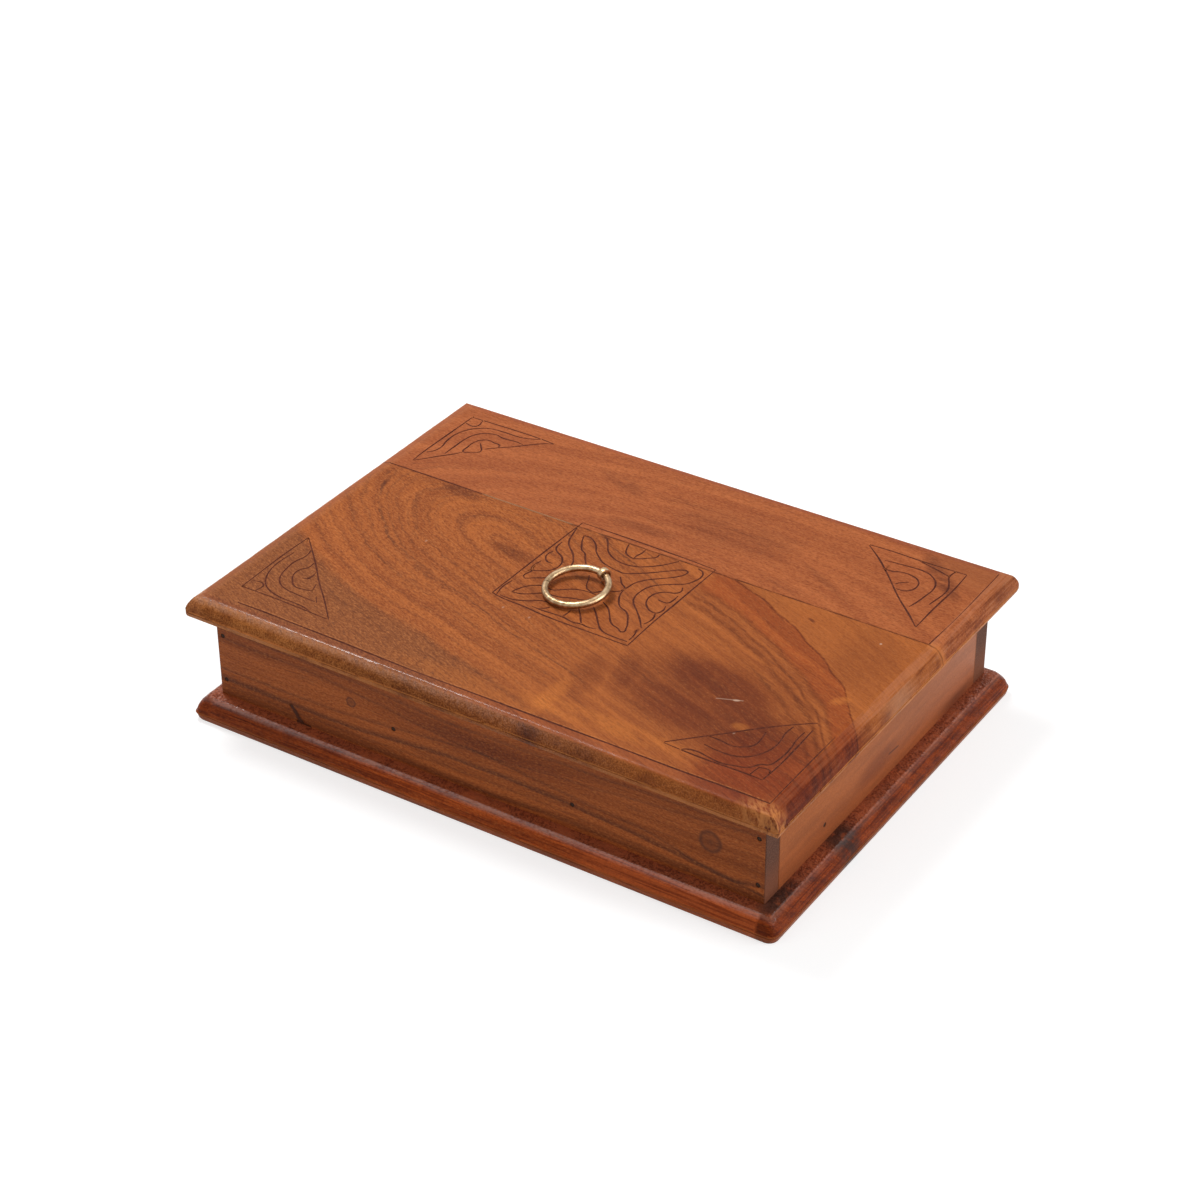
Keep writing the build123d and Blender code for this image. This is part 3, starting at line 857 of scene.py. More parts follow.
class Finish(NodeTree):
    """One wood or metal: its colour, built up layer by layer, and places in millimetres."""

    def __init__(self, name):
        self.material = bpy.data.materials.new(name)
        super().__init__(self.material)
        self.colours = settings("colours")
        place = self.node("ShaderNodeTexCoord", {}, {}, 3)
        metres = self.node("ShaderNodeSeparateXYZ", {}, {0: place})
        self.x, self.y, self.z = (metres.output(axis) * (1 / MM) for axis in range(3))

    def noise(self, x, y, z, detail=2.0, roughness=0.5):
        """Noise from 0 to 1 at a place whose unit is one blob."""
        place = self.node("ShaderNodeCombineXYZ", {}, {0: x, 1: y, 2: z})
        return self.node("ShaderNodeTexNoise", {}, {0: place, 2: 1.0, 3: detail, 4: roughness})

    def blobs(self, wide, deep, high, detail=2.0, roughness=0.5):
        """Noise from 0 to 1 in blobs of this size in millimetres."""
        return self.noise(self.x / wide, self.y / deep, self.z / high, detail, roughness)

    def mix(self, share, first, second, blend="MIX"):
        """Mixes two colours, each a Value or three numbers."""
        first, second = (c if isinstance(c, Value) else (*c, 1) for c in (first, second))
        options = {"data_type": "RGBA", "blend_type": blend}
        return self.node("ShaderNodeMix", options, {0: share, 6: first, 7: second}, 2)

    def lay(self, share, colour):
        """Lays a colour over the finish's where share is 1."""
        self.colour = self.mix(share, self.colour, colour)

    def stain(self, share, tint):
        """Multiplies the finish's colour by a tint where share is 1."""
        self.colour = self.mix(share, self.colour, tint, "MULTIPLY")

    def spot(self, x, y, wide, high, turn=0.0):
        """1 in the middle of an ellipse on the lid, 0 at its edge and beyond."""
        along, side = turned(self.x - x, self.y - y, turn)
        return squares(along / wide, side / high).rise(1.0, 0.0)

    def spots(self, rows):
        """Several spots together, up to 1; a row is a spot and its strength."""
        return sum(self.spot(*row) * strength for *row, strength in rows).low(1)

    def stroke(self, across, up, start, end, width):
        """1 on a straight line between two places, 0 at width away from it."""
        run = (end[0] - start[0], end[1] - start[1])
        square = run[0] ** 2 + run[1] ** 2
        off_x, off_y = across - start[0], up - start[1]
        share = ((off_x * run[0] + off_y * run[1]) / square).low(1).high(0)
        away = distance(off_x - share * run[0], off_y - share * run[1])
        return away.rise(width, width * 0.35)

    def course(self, along, points):
        """The height of a line through a few points, at a place along it."""
        starts, heights = zip(*points)
        low, high = min(heights) - 1, max(heights) + 1
        stops = [
            ((start - starts[0]) / (starts[-1] - starts[0]), [(height - low) / (high - low)] * 3)
            for start, height in points
        ]
        share = (along - starts[0]) / (starts[-1] - starts[0])
        return self.node("ShaderNodeValToRGB", {"stops": stops}, {0: share}) * (high - low) + low

    def growth(self, ring, place, fade, strength):
        """The dark side of a growth ring: slow on the inside, sharp on the outside."""
        return ring.rise(place - fade, place) * ring.rise(place + 0.9, place + 0.1) * strength

    def growth_lines(self, across, along, width):
        """Thin dark growth lines, unevenly spaced: 1 on a line."""
        return abs(self.noise(across, along, 0.0, 1.0, 0.4) - 0.5).rise(width, 0.0)

    def grain(self, along, across, depth):
        """Makes the fine fibres, granular spots and short pores that run along the grain."""
        self.fine = self.noise(across / 0.9, along / 26, depth / 4, 2.0, 0.6)
        self.grit = self.noise(along / 1.9, across / 0.85, depth / 0.85, 3.0, 0.65)
        self.pore = self.noise(along / 3.0, across / 0.4, depth / 0.4, 1.0, 0.5).rise(0.57, 0.72)

    def weather(self, spotted=1.0):
        """Lays the fibres, spots and pores over a wood's colour."""
        self.stain(self.fine.rise(0.4, 0.75) * 0.45, (0.64, 0.54, 0.50))
        self.stain(self.grit.rise(0.47, 0.66) * spotted * 0.75, (0.58, 0.48, 0.44))
        self.lay(self.grit.rise(0.46, 0.30) * spotted * 0.4, self.colours.wear_and_highlight)
        self.lay(self.pore * 0.35, self.colours.streak)

    def shade_scratch_line(self, height, band, mould):
        """Painted shade: darkens the line that is cut in a moulding's band."""
        line = height.near(band - 2 * settings("handwork").scratch, 0.4)
        self.stain(line * mould * 0.85, (0.35, 0.28, 0.25))

    def surface(self, rough, height, depth, **constants):
        """Ends the material: a principled surface with bump from a height in millimetres."""
        bump = {"Strength": 1.0, "Distance": depth * MM, "Height": height}
        inputs = {
            "Base Color": self.colour, "Roughness": rough,
            "Normal": self.node("ShaderNodeBump", {}, bump),
        }
        inputs.update({name.replace("_", " "): value for name, value in constants.items()})
        shader = self.node("ShaderNodeBsdfPrincipled", {}, inputs)
        self.node("ShaderNodeOutputMaterial", {}, {0: shader})
        return self.material


# Growth rings of the lid's front board: distance from the eye, fade, strength
RINGS = [(15, 2.2, 0.45), (25, 2.2, 0.4), (34, 2.0, 0.65), (41, 1.6, 0.5), (45, 1.3, 0.65),
         (48.7, 2.1, 1.1), (55, 1.3, 0.5), (61, 2.0, 0.65), (70, 1.3, 0.4), (79, 1.6, 0.45),
         (91, 6, 0.65), (99, 1.6, 0.4)]
# The upper edge of the red band at the right, and its dark streaks: place, reach, strength
BAND_EDGE = [(-178, 60), (44, 43), (60, 38), (85, 27), (110, 13), (135, -4), (155, -22),
             (178, -50)]
BAND_STREAKS = [(-0.2, 1.3, 0.7), (-20, 3.5, 0.4), (-27, 2.0, 0.6), (-33, 4.0, 0.55),
                (-43, 3.0, 0.35)]
# Spots on the lid: x, y, half its width and height, turn, strength
SMOKE = [(104, -62, 70, 46, -0.15, 0.75), (98, -47, 42, 18, -0.3, 0.55),
         (80, -76, 36, 16, -0.2, 0.4), (132, -78, 46, 30, 0.2, 0.35),
         (38, -74, 11, 26, 0.25, 0.55), (52, -62, 9, 22, 0.3, 0.4), (150, 8, 24, 34, 0.4, 0.35)]
REAR_SMOKE = [(-46, 92, 24, 7, -0.35, 0.45), (145, 99, 30, 7, -0.78, 1),
              (94, 64, 30, 3, -0.5, 0.35), (-12, 58, 30, 6, 0, 0.5), (30, 80, 50, 24, 0, 0.4)]
GOLDEN = [(66, -106, 62, 9, 0, 0.6), (33, -100, 7, 24, 0, 0.5), (155, -28, 4, 8, -0.6, 0.6),
          (125, -73, 6, 4, 0, 0.5), (-5, -112, 60, 9, 0, 0.3)]
FLECKS = [(112, -54.7, 2.2, 1.0, 0.4, 1), (148, 27, 0.9, 0.9, 0, 1)] + [
    (x, y, 0.8, 1.3, 0, 0.4) for x, y in ((-31.7, -46.7), (-15, -47.5), (125, -79), (-103, -15))
]
MARKS = [(108, 27.5, 3.6, 1.3, -0.4, 1), (-133, -77.5, 1.4, 2.4, 0, 1),
         (-22.4, 38.6, 3, 1.0, 0, 1), (-23, -35, 2, 3, 0, 0.6), (37.9, -28.9, 1.6, 3, 0, 1),
         (-158, 23, 1.5, 3, 0.6, 0.6)]


def lid_front_finish():
    """The front board: growth rings nested round an eye at the left."""
    f = Finish("lid_front_wood")
    colours = f.colours
    ripple = (f.blobs(7, 7, 8, 3.0, 0.65) - 0.5) * 4.2
    along, across = turned(f.x + 70, f.y - 6, -0.385)
    ring = distance(along.low(0) * 0.5, across * (along.high(0) * 0.0016 + 1))
    ring = ring + (f.blobs(44, 30, 30) - 0.5) * 8 + ripple + (LID_TOP - f.z) * 0.5
    bands = f.noise(ring / 6.5, along / 260, 0.0, 3.0, 0.55)
    patchy = f.noise(along / 34, across / 20, 5.0, 2.0)
    broken = f.noise(along / 6, ring / 1.4, 2.0, 2.0, 0.6).rise(0.34, 0.6)
    smoke = f.noise(f.x / 26 + f.y / 60, f.y / 11 + f.x / 40, 3.0, 4.0, 0.62)
    f.grain(along, across, f.z)
    f.colour = f.mix(bands.rise(0.32, 0.66), colours.lid_brown, colours.lid_gold)
    dull = ring.rise(84, 94) * f.x.rise(30, -40)
    f.lay(dull * 0.85, colours.lid_olive)
    rings = sum(f.growth(ring, *row) for row in RINGS)
    rings = rings * patchy.rise(0.2, 0.55) * (broken * 0.6 + 0.4) * f.x.rise(60, 20)
    f.lay(rings.low(1) * 0.7, colours.streak)
    hair = f.growth_lines(ring / 4.0, along / 300, 0.05) * broken * patchy.rise(0.7, 0.35)
    f.lay(hair * 0.4, colours.streak)
    gap = f.y - f.course(f.x, BAND_EDGE) + ripple * 0.5
    right = f.x.rise(38, 50)
    f.lay(gap.rise(-1, 1) * right * 0.45, (0.44, 0.128, 0.028))
    red_band = gap.rise(-22, -17) * gap.rise(0.5, -0.5) * right
    f.stain(red_band * (broken * 0.4 + 0.5), (0.86, 0.66, 0.60))
    streaks = sum(gap.near(place, reach) * strength for place, reach, strength in BAND_STREAKS)
    streaks = streaks * right * (broken * 0.5 + 0.5)
    f.stain((streaks * 1.3).low(1) * 0.95, (0.40, 0.30, 0.28))
    f.stain(f.spots(SMOKE) * smoke.rise(0.0, 0.56), (0.47, 0.36, 0.38))
    f.stain(f.spot(152, -96, 44, 40, 0.5) * 0.9, (0.66, 0.44, 0.46))
    front_right = f.x.rise(121, 128) * f.y.rise(-93, -99) * smoke.rise(0.2, 0.5)
    f.stain(front_right * 0.5, (0.72, 0.54, 0.52))
    f.stain(f.spot(-60, 0, 20, 6, -0.15) * patchy.rise(0.1, 0.4) * 0.75, (0.52, 0.44, 0.42))
    f.stain(f.spot(-120, 37, 24, 7, -0.05) * smoke.rise(0.3, 0.5) * 0.8, (0.55, 0.48, 0.50))
    f.lay(f.spots(GOLDEN) * smoke.rise(0.3, 0.5), (0.56, 0.170, 0.034))
    f.weather(f.x.rise(60, -60) * 0.6 + 0.4)
    f.lay(f.pore * dull * 0.45, colours.streak)
    pale_scratch = f.stroke(f.x, f.y, (102.7, -58.3), (114.9, -53.3), 0.5) * 0.5
    f.lay((pale_scratch + f.spots(FLECKS)).low(1) * 0.8, (0.62, 0.42, 0.30))
    f.stain(f.spots(MARKS) * 0.85, (0.35, 0.26, 0.28))
    return lid_edge(f)


def lid_rear_finish():
    """The rear board: fine straight wood that arches a little, with smoky streaks."""
    f = Finish("lid_rear_wood")
    ring = distance((f.x - 20) / 2.6, f.y - 20) + (f.blobs(50, 26, 30) - 0.5) * 7
    ring = ring + (LID_TOP - f.z) * 0.5
    bands = f.noise(ring / 8, f.x / 200, 0.0, 3.0, 0.55)
    patchy = f.noise(f.x / 34, f.y / 16, 9.0, 2.0)
    f.grain(f.x, f.y + f.x * 0.05, f.z)
    f.colour = f.mix(bands.rise(0.3, 0.7), f.colours.rear_dark, f.colours.rear_light)
    hair = f.growth_lines(ring / 5.0, f.x / 300, 0.03) * patchy.rise(0.4, 0.7)
    f.lay(hair * 0.25, f.colours.streak)
    f.weather(0.8)
    smoke = f.noise(f.x / 22, f.y / 7, 8.0, 4.0, 0.65).rise(0.28, 0.52)
    f.stain(f.spots(REAR_SMOKE) * smoke, (0.50, 0.46, 0.50))
    f.lay(f.spot(160, 112, 40, 22, -0.4) * 0.5, (0.30, 0.090, 0.030))
    return lid_edge(f)


def lid_edge(f):
    """The lid's moulded edge and joint, over a board's own colour, and its polish."""
    colours, sizes, hand = f.colours, settings("lid_moulding"), settings("handwork")
    inset = (LID_HIGH.x - abs(f.x)).low(LID_HIGH.y - abs(f.y))
    height = f.z - LID_LOW.z
    drag = f.noise((f.x + f.y) / 2.0, inset / 3, f.z / 5, 3.0, 0.6)
    blotch = f.blobs(16, 16, 9, 3.0, 0.6)
    crumbs = f.blobs(0.8, 0.8, 0.8, 3.0, 0.7)
    runs = f.noise(f.y / 28, height / 1.6, inset / 1.6, 3.0, 0.6)
    drift = (hand.drift_middle - f.x) * hand.front_drift * f.y.rise(-113, -117)
    below_crest = drift + sizes.crest_inset - inset
    crest = below_crest.near(0.4, 2.6)
    mould = below_crest.rise(-0.4, 0.6)
    shelf = inset.rise(sizes.shelf_inset, sizes.shelf_inset - 0.6) * (1 - mould)
    right = (LID_HIGH.x - abs(f.x)).rise(10, 9) * f.x.rise(0, 1)
    side_mould, front_mould = mould * right, mould * (1 - right)
    f.lay(front_mould * 0.5, (0.34, 0.100, 0.017))
    f.lay(front_mould * f.x.rise(60, 110) * 0.35, (0.52, 0.14, 0.02))
    f.lay(front_mould * f.x.rise(-20, -100) * 0.5, (0.56, 0.20, 0.05))
    f.lay(f.x.rise(-164, -172) * 0.45, (0.50, 0.19, 0.08))
    grainy = mould * (1 - right * 0.75)
    f.stain(grainy * crumbs.rise(0.44, 0.62) * 0.75, (0.36, 0.26, 0.19))
    f.lay(grainy * crumbs.rise(0.46, 0.34) * 0.4, colours.wear_and_highlight)
    f.stain(side_mould * runs.rise(0.45, 0.65) * 0.7, (0.55, 0.44, 0.38))
    f.lay(side_mould * runs.rise(0.48, 0.34) * 0.35, (0.50, 0.22, 0.11))
    f.stain(front_mould * drag.rise(0.4, 0.7) * 0.4, (0.60, 0.46, 0.34))
    f.stain(mould * blotch.rise(0.45, 0.66) * 0.6, (0.50, 0.36, 0.30))
    f.lay(side_mould * f.y.near(-5, 24) * 0.5, (0.48, 0.225, 0.120))
    f.lay(right * f.y.near(40, 5) * 0.6, (0.62, 0.200, 0.050))
    f.stain(front_mould * f.x.near(37, 11) * 0.85, (0.42, 0.30, 0.28))
    f.stain(shelf * (1 - right) * 0.6, (0.84, 0.66, 0.62))
    # A paler line just inside the front border line
    lip = (f.y - f.course(f.x, BORDER_LINES[0])).near(0.95, 0.5) * drag.rise(0.35, 0.6)
    f.lay(lip * f.x.rise(-158, -150) * f.x.rise(168, 166) * 0.55, colours.wear_and_highlight)
    f.lay(shelf * right * runs.rise(0.7, 0.4) * 0.3, (0.52, 0.22, 0.12))
    f.stain((mould + shelf * 0.8).low(1) * right * f.y.rise(-30, -52), (0.66, 0.46, 0.36))
    band = height.rise(sizes.band + 0.1, sizes.band - 0.3) * mould
    pale_band = band * (blotch.rise(0.7, 0.4) * 0.5 + 0.15) * (1 - f.x.near(20, 100) * 0.8)
    f.lay(pale_band, colours.wear_and_highlight)
    # Painted highlight: a pale line along the ledge over the band, where the ledge catches the light
    ledge = height.near(sizes.band + 0.05, 0.55) * mould
    f.lay(ledge * drag.rise(0.3, 0.5) * 0.7, colours.wear_and_highlight)
    # Painted shade in the band's cut line
    f.shade_scratch_line(height, sizes.band, mould)
    # Rubbed wear and a painted highlight along the front crest, broken and strongest at the left; the
    # spot at the front right corner is rubbed wear
    crest_wear_and_highlight = crest * drag.rise(0.3, 0.6) * (f.x.rise(40, -120) * 0.3 + 0.15) * (1 - right)
    crest_wear_and_highlight = crest_wear_and_highlight + f.spot(174, -125, 24, 9, -0.1) * drag.rise(0.35, 0.6) * 0.8
    f.lay(crest_wear_and_highlight.low(1), colours.wear_and_highlight)
    seam = abs(f.y - LID_JOINT - f.x * hand.seam_slant)
    open_places = f.noise(f.x / 14, 2.0, 5.0, 2.0).rise(0.35, 0.6)
    open_places = open_places.high(f.x.near(-37, 5)).high(f.x.near(23, 5))
    f.stain(seam.rise(1.0, 0.15) * open_places * 0.85, (0.3, 0.25, 0.25))
    filler = seam.rise(0.55, 0.3) * f.x.rise(-107, -103) * f.x.rise(-44, -50) * inset.rise(8, 10)
    f.lay(filler * 0.75, (0.50, 0.27, 0.13))
    rough = 0.42 + f.grit * 0.16 - mould * crumbs.rise(0.50, 0.36) * 0.1
    relief = f.fine * 0.4 + f.grit * 0.6 + (drag * 0.5 + crumbs * 0.8) * mould
    broken = crumbs.rise(0.62, 0.46) * 0.6 + drag.rise(0.6, 0.4) * 0.4
    coat = crest * broken * (f.x.rise(110, -40) * 0.95 + 0.05)
    return f.surface(
        rough, relief, 0.25, Specular_IOR_Level=0.08, Coat_Weight=coat, Coat_Roughness=0.17,
        Coat_IOR=1.85,
    )


def incised_finish():
    """The dirt and old polish in the carved lines, darkened further as painted shade."""
    f = Finish("incised_lines")
    clumps = f.blobs(1.6, 1.6, 1.6, 3.0, 0.6)
    f.colour = f.mix(clumps.rise(0.4, 0.75), f.colours.incised, (0.19, 0.052, 0.027))
    return f.surface(clumps * 0.2 + 0.6, clumps, 0.2, Specular_IOR_Level=0.1)


# Dark lines along the walls: places along and up, width, strength
LONG_LINES = [
    ([(-166, 24), (-80, 24), (-55, 26), (-22, 28.6), (6, 29.5), (35, 29), (64, 27.6),
      (93, 25.6), (121, 22.8), (136, 20.9), (150, 20.8), (166, 23.4)], 1.3, 0.8),
    ([(-166, 56), (-65, 53), (-30, 50.2), (0, 50), (40, 51), (80, 52), (166, 56)], 0.9, 0.5),
    ([(-166, 30), (-90, 31), (-50, 34), (0, 38.4), (30, 36), (60, 33), (100, 30), (120, 24.6),
      (166, 18)], 0.9, 0.5),
    ([(-166, 50), (-90, 48), (-50, 43.6), (0, 39), (40, 42), (80, 45), (166, 53)], 0.8, 0.42),
    ([(-166, 15.4), (0, 15.6), (60, 17), (166, 15.2)], 1.5, 0.6),
    ([(-166, 19.6), (-60, 20.4), (0, 23), (60, 22), (110, 18.8), (166, 18.4)], 0.8, 0.35),
]
# Knots of the front wall: x, z, radius
KNOTS = ((135, 39, 7.5), (-79, 40, 3.4))


def wall_finish():
    """The walls: brown wood, its growth lines pinched together at each wall's middle."""
    f = Finish("wall_wood")
    colours = f.colours
    on_end = abs(f.x).rise(WALL_HIGH.x - 0.45, WALL_HIGH.x - 0.35)
    long_wall = abs(f.y).rise(WALL_HIGH.y - 14, WALL_HIGH.y - 12)
    front = f.y.rise(-110, -114)
    right = f.x.rise(WALL_HIGH.x - 0.6, WALL_HIGH.x - 0.2) * (1 - long_wall)
    along = f.x * long_wall + f.y * (1 - long_wall)
    sway = (f.blobs(36, 36, 14) - 0.5) * 5
    ripple = (f.blobs(7, 7, 4) - 0.5) * 1.1
    height = f.z + sway * 0.3 + ripple
    across = height + sway * 0.5 + along.near(-10, 90) * 5
    bands = f.noise(across / 7, along / 260, f.y / 70, 3.0, 0.55)
    patchy = f.noise(along / 30, f.z / 10, f.y / 40, 2.0)
    f.grain(along, across, f.y)
    f.colour = f.mix(bands.rise(0.3, 0.68), colours.wall_dark, colours.wall_light)
    dark = 0
    for points, width, strength in LONG_LINES:
        gap = height - f.course(along, points)
        dark = dark + gap.rise(-width, 0.2) * gap.rise(3.2 * width, 0.2) * strength
    f.lay(dark.low(1) * patchy.rise(0.0, 0.4) * (long_wall * 0.65 + 0.25), colours.streak)
    f.stain(height.near(43, 10) * along.near(8, 90) * long_wall * 0.8, (0.58, 0.46, 0.44))
    hair = f.growth_lines(across / 7, along / 300, 0.03) * patchy.rise(0.4, 0.65)
    f.lay(hair * 0.25, colours.streak)
    f.weather()
    speckle = f.noise(f.y / 0.7, f.z / 0.7, f.x / 3, 2.0, 0.6)
    end_colour = f.mix(speckle.rise(0.35, 0.7), (0.075, 0.030, 0.018), (0.15, 0.062, 0.038))
    end_colour = f.mix(f.z.rise(42, 20) * 0.6, end_colour, (0.22, 0.070, 0.032))
    f.lay(on_end * long_wall, end_colour)
    # Painted shade along the walls' foot, where they meet the base
    f.stain(f.z.rise(BASE_HIGH.z + 6, BASE_HIGH.z) * 0.35, (0.55, 0.42, 0.38))
    for x, z, radius in KNOTS:
        out = distance(f.x - x, f.z - z) + ripple
        knot = out.rise(radius, radius * 0.75) * 0.5 + out.near(radius * 0.75, radius * 0.25) * 0.5
        knot = knot + out.rise(radius * 0.35, 0) * 0.35
        f.lay(knot * front * 0.8, colours.streak)
    scar = f.stroke(f.x + ripple, f.z, (-118.5, 23), (-111.5, 14), 1.8)
    scar = scar.high(f.stroke(f.x, f.z, (-115, 14.6), (-107, 14), 1.1)) * front
    f.lay(scar * 0.9, (0.05, 0.016, 0.010))
    f.lay(right * 0.5, (0.38, 0.135, 0.055))
    smoky = squares((f.y + 5) / 24, (f.z - 28) / 10).rise(1.0, 0.0)
    f.stain(smoky * right * 0.6, (0.60, 0.52, 0.55))
    f.stain(right * f.z.rise(42, 18) * 0.7, (0.80, 0.62, 0.46))
    f.lay(f.stroke(f.y, f.z, (8, 26.5), (18, 25.5), 0.8) * right * 0.9, colours.streak)
    f.stain(f.y.near(82, 32) * f.z.rise(24, 16) * right * 0.8, (0.40, 0.32, 0.36))
    return f.surface(
        0.42 + f.fine * 0.15 + on_end * 0.2, f.fine + f.grit * 0.6 - scar * 4, 0.2,
        Specular_IOR_Level=0.12, Coat_Weight=right * f.y.rise(-100, 110) * 0.35 + 0.02,
        Coat_Roughness=0.35,
    )


def base_finish():
    """The base: dark red wood with a thick uneven polish."""
    f = Finish("base_wood")
    sizes = settings("base_moulding")
    inset = (BASE_HIGH.x - abs(f.x)).low(BASE_HIGH.y - abs(f.y))
    shelf = inset.rise(sizes.crest_inset, sizes.crest_inset + 1.0)
    mould = inset.rise(sizes.crest_inset + 0.4, sizes.crest_inset - 0.6)
    crest = inset.near(sizes.crest_inset, 2.2)
    on_side = (BASE_HIGH.x - abs(f.x)).rise(12, 10)
    off_side = 1 - on_side
    across = f.y + f.z * 1.3 + (f.blobs(45, 35, 20) - 0.5) * 9
    bands = f.noise(across / 6, f.x / 200, f.z / 9, 3.0, 0.55)
    blotch = f.blobs(14, 14, 8, 3.0, 0.6)
    crumbs = f.blobs(1.3, 1.3, 1.3, 3.0, 0.7)
    f.grain(f.x, f.y + f.z, f.z)
    f.colour = f.mix(bands.rise(0.3, 0.7), f.colours.base_dark, f.colours.base_light)
    f.weather()
    f.stain(blotch.rise(0.45, 0.7) * 0.6, (0.50, 0.40, 0.38))
    # Rubbed wear and a painted highlight, in blotches along the crest
    f.lay(crest * blotch.rise(0.65, 0.4) * 0.35, (0.50, 0.17, 0.07))
    f.stain((1 - shelf) * on_side * 0.9, (0.50, 0.42, 0.32))
    f.stain(f.x.rise(-60, -110) * off_side * (1 - shelf) * 0.7, (0.50, 0.46, 0.50))
    f.lay(f.x.rise(40, 90) * off_side * (1 - shelf) * 0.5, (0.62, 0.130, 0.034))
    f.lay(shelf * 0.6, (0.30, 0.092, 0.048))
    f.stain(shelf * crumbs.rise(0.46, 0.6) * blotch.rise(0.35, 0.5) * 0.8, (0.35, 0.28, 0.30))
    run = f.x * off_side + f.y * on_side
    lines = f.noise(run / 45, f.z / 1.3, inset / 1.3 + off_side * 40, 3.0, 0.6)
    f.stain(mould * lines.rise(0.46, 0.62) * 0.75, (0.40, 0.28, 0.24))
    f.stain(mould * crumbs.rise(0.45, 0.62) * 0.25, (0.42, 0.30, 0.26))
    f.lay(f.z.rise(sizes.band + 0.1, sizes.band - 0.3) * mould * 0.35, (0.42, 0.130, 0.040))
    dark_knot = f.spot(170, -50, 15, 14) + f.spot(169, -108, 10, 22) * shelf
    dark_knot = dark_knot * f.blobs(5, 5, 4, 3.0).rise(0.25, 0.5)
    f.lay(dark_knot.low(1) * 0.9, (0.040, 0.018, 0.014))
    # Painted highlight: a pale line along the ledge over the band
    f.lay(f.z.near(sizes.band + 0.05, 0.6) * mould * 0.5, (0.44, 0.140, 0.045))
    # Painted shade in the band's cut line
    f.shade_scratch_line(f.z, sizes.band, mould)
    ends = abs(f.x).rise(BASE_HIGH.x - 14, BASE_HIGH.x - 11)
    rough_shelf = shelf * inset.rise(14, 12) * ends.high(f.x.rise(60, 120))
    relief = f.grit * 0.5 + f.fine * 0.25 + crumbs * (rough_shelf * 2.0 + 0.6) + blotch * 0.8
    coat = crest * (crumbs.rise(0.62, 0.5) * 0.6 + 0.4) * (1 - on_side * 0.6)
    coat = coat + shelf * crumbs.rise(0.50, 0.36) * 0.8
    return f.surface(
        0.34 + f.grit * 0.14, relief, 0.3, Specular_IOR_Level=0.08, Coat_Weight=coat,
        Coat_Roughness=0.14, Coat_IOR=1.85,
    )


def inner_finish():
    """The partitions and cleats: dry sawn wood."""
    f = Finish("inner_wood")
    across = f.z + f.x * 0.3 + (f.blobs(40, 40, 15) - 0.5) * 9
    bands = f.noise(across / 5, f.y / 160, f.x / 50, 3.0, 0.6)
    saw = f.noise(f.y / 1.3, f.z / 20, f.x / 1.3, 2.0, 0.6)
    f.colour = f.mix(bands.rise(0.3, 0.7), f.colours.inner_dark, f.colours.inner_light)
    f.stain(saw.rise(0.4, 0.8) * 0.3, (0.7, 0.62, 0.58))
    return f.surface(saw * 0.2 + 0.6, saw * 0.7 + bands * 0.3, 0.2, Specular_IOR_Level=0.2)


def brass_finish():
    """Satin brass, handled bright, with fine scratches."""
    f = Finish("satin_brass")
    wear = f.blobs(4, 4, 3, 3.0, 0.6)
    scratches = f.blobs(0.25, 1.6, 0.5, 2.0, 0.7)
    f.colour = f.mix(wear.rise(0.38, 0.62) * 0.8, f.colours.brass, f.colours.tarnish)
    return f.surface(wear * 0.2 + scratches * 0.12 + 0.18, scratches, 0.05, Metallic=1.0)


def iron_finish():
    """Dark rusted wire nails."""
    f = Finish("rusted_iron")
    rust = f.blobs(0.9, 0.9, 0.9, 3.0, 0.65)
    f.colour = f.mix(rust.rise(0.42, 0.7), f.colours.iron, f.colours.rust)
    return f.surface(rust * 0.3 + 0.5, rust, 0.15, Specular_IOR_Level=0.12)


# Operators


class BoxLid(bpy.types.Operator):
    """Model the lid's two moulded boards and cut their seam and carved lines"""

    bl_idname = "mesh.box_lid"
    bl_label = "Lid boards"

    def execute(self, context):
        sizes, hand, knife = settings("lid_moulding"), settings("handwork"), settings("carving")
        places = board_section(sizes, LID_HIGH.z - LID_LOW.z, hand.scratch)
        board = moulded_board(
            "lid_board", LID_LOW, LID_HIGH, places, LID_CORNERS, hand.cut_spacing
        )
        drift_front(board, LID_HIGH, LID_LOW, places, sizes, hand)
        hand_plane(board, LID_LOW, LID_HIGH, sizes.crest_inset + 0.3, hand)
        panel_top(board, LID_TOP, knife.panel)
        front, rear = split_board(
            board, "lid_front_carved", "lid_rear_carved", LID_JOINT, hand.seam_slant, hand, LID_TOP
        )
        lines = SQUARE_LINES + REAR_LEFT_LINES + REAR_RIGHT_LINES + FRONT_RIGHT_LINES
        cutters = [
            line_cutter("knife", lines + [OPEN_SEAM], knife.half_width, knife),
            line_cutter("corner_knife", FRONT_LEFT_LINES, knife.corner_half_width, knife),
            line_cutter("border_knife", BORDER_LINES, knife.border_half_width, knife),
            line_cutter("faint_knife", [FAINT_BORDER], knife.faint_half_width, knife),
            slot_cutter(settings("metalwork")),
        ]
        incised = incised_finish()
        for piece, side, finish in (
            (front, "front", lid_front_finish()), (rear, "rear", lid_rear_finish()),
        ):
            cut_away(piece, *cutters)
            apply_modifier(piece, "TRIANGULATE", ngon_method="BEAUTY")
            node, slot = f"lid_{side}_plank", f"lid_{side}_wood"
            dress(piece, "lid", slot, finish, incised, stands_for=(node,))
            mark_faces(piece, 1, in_groove)
            shade_board(piece)
        discard(*cutters)
        return {"FINISHED"}


def in_groove(place, normal):
    """Whether a face of the lid is a side of a carved line."""
    inset, shallow, deep, steep, flat = 7.2, 0.02, 1.2, 0.1, 0.88
    inside = edge_distance(place, LID_HIGH) > inset
    return inside and LID_TOP - deep < place.z < LID_TOP - shallow and steep < normal.z < flat


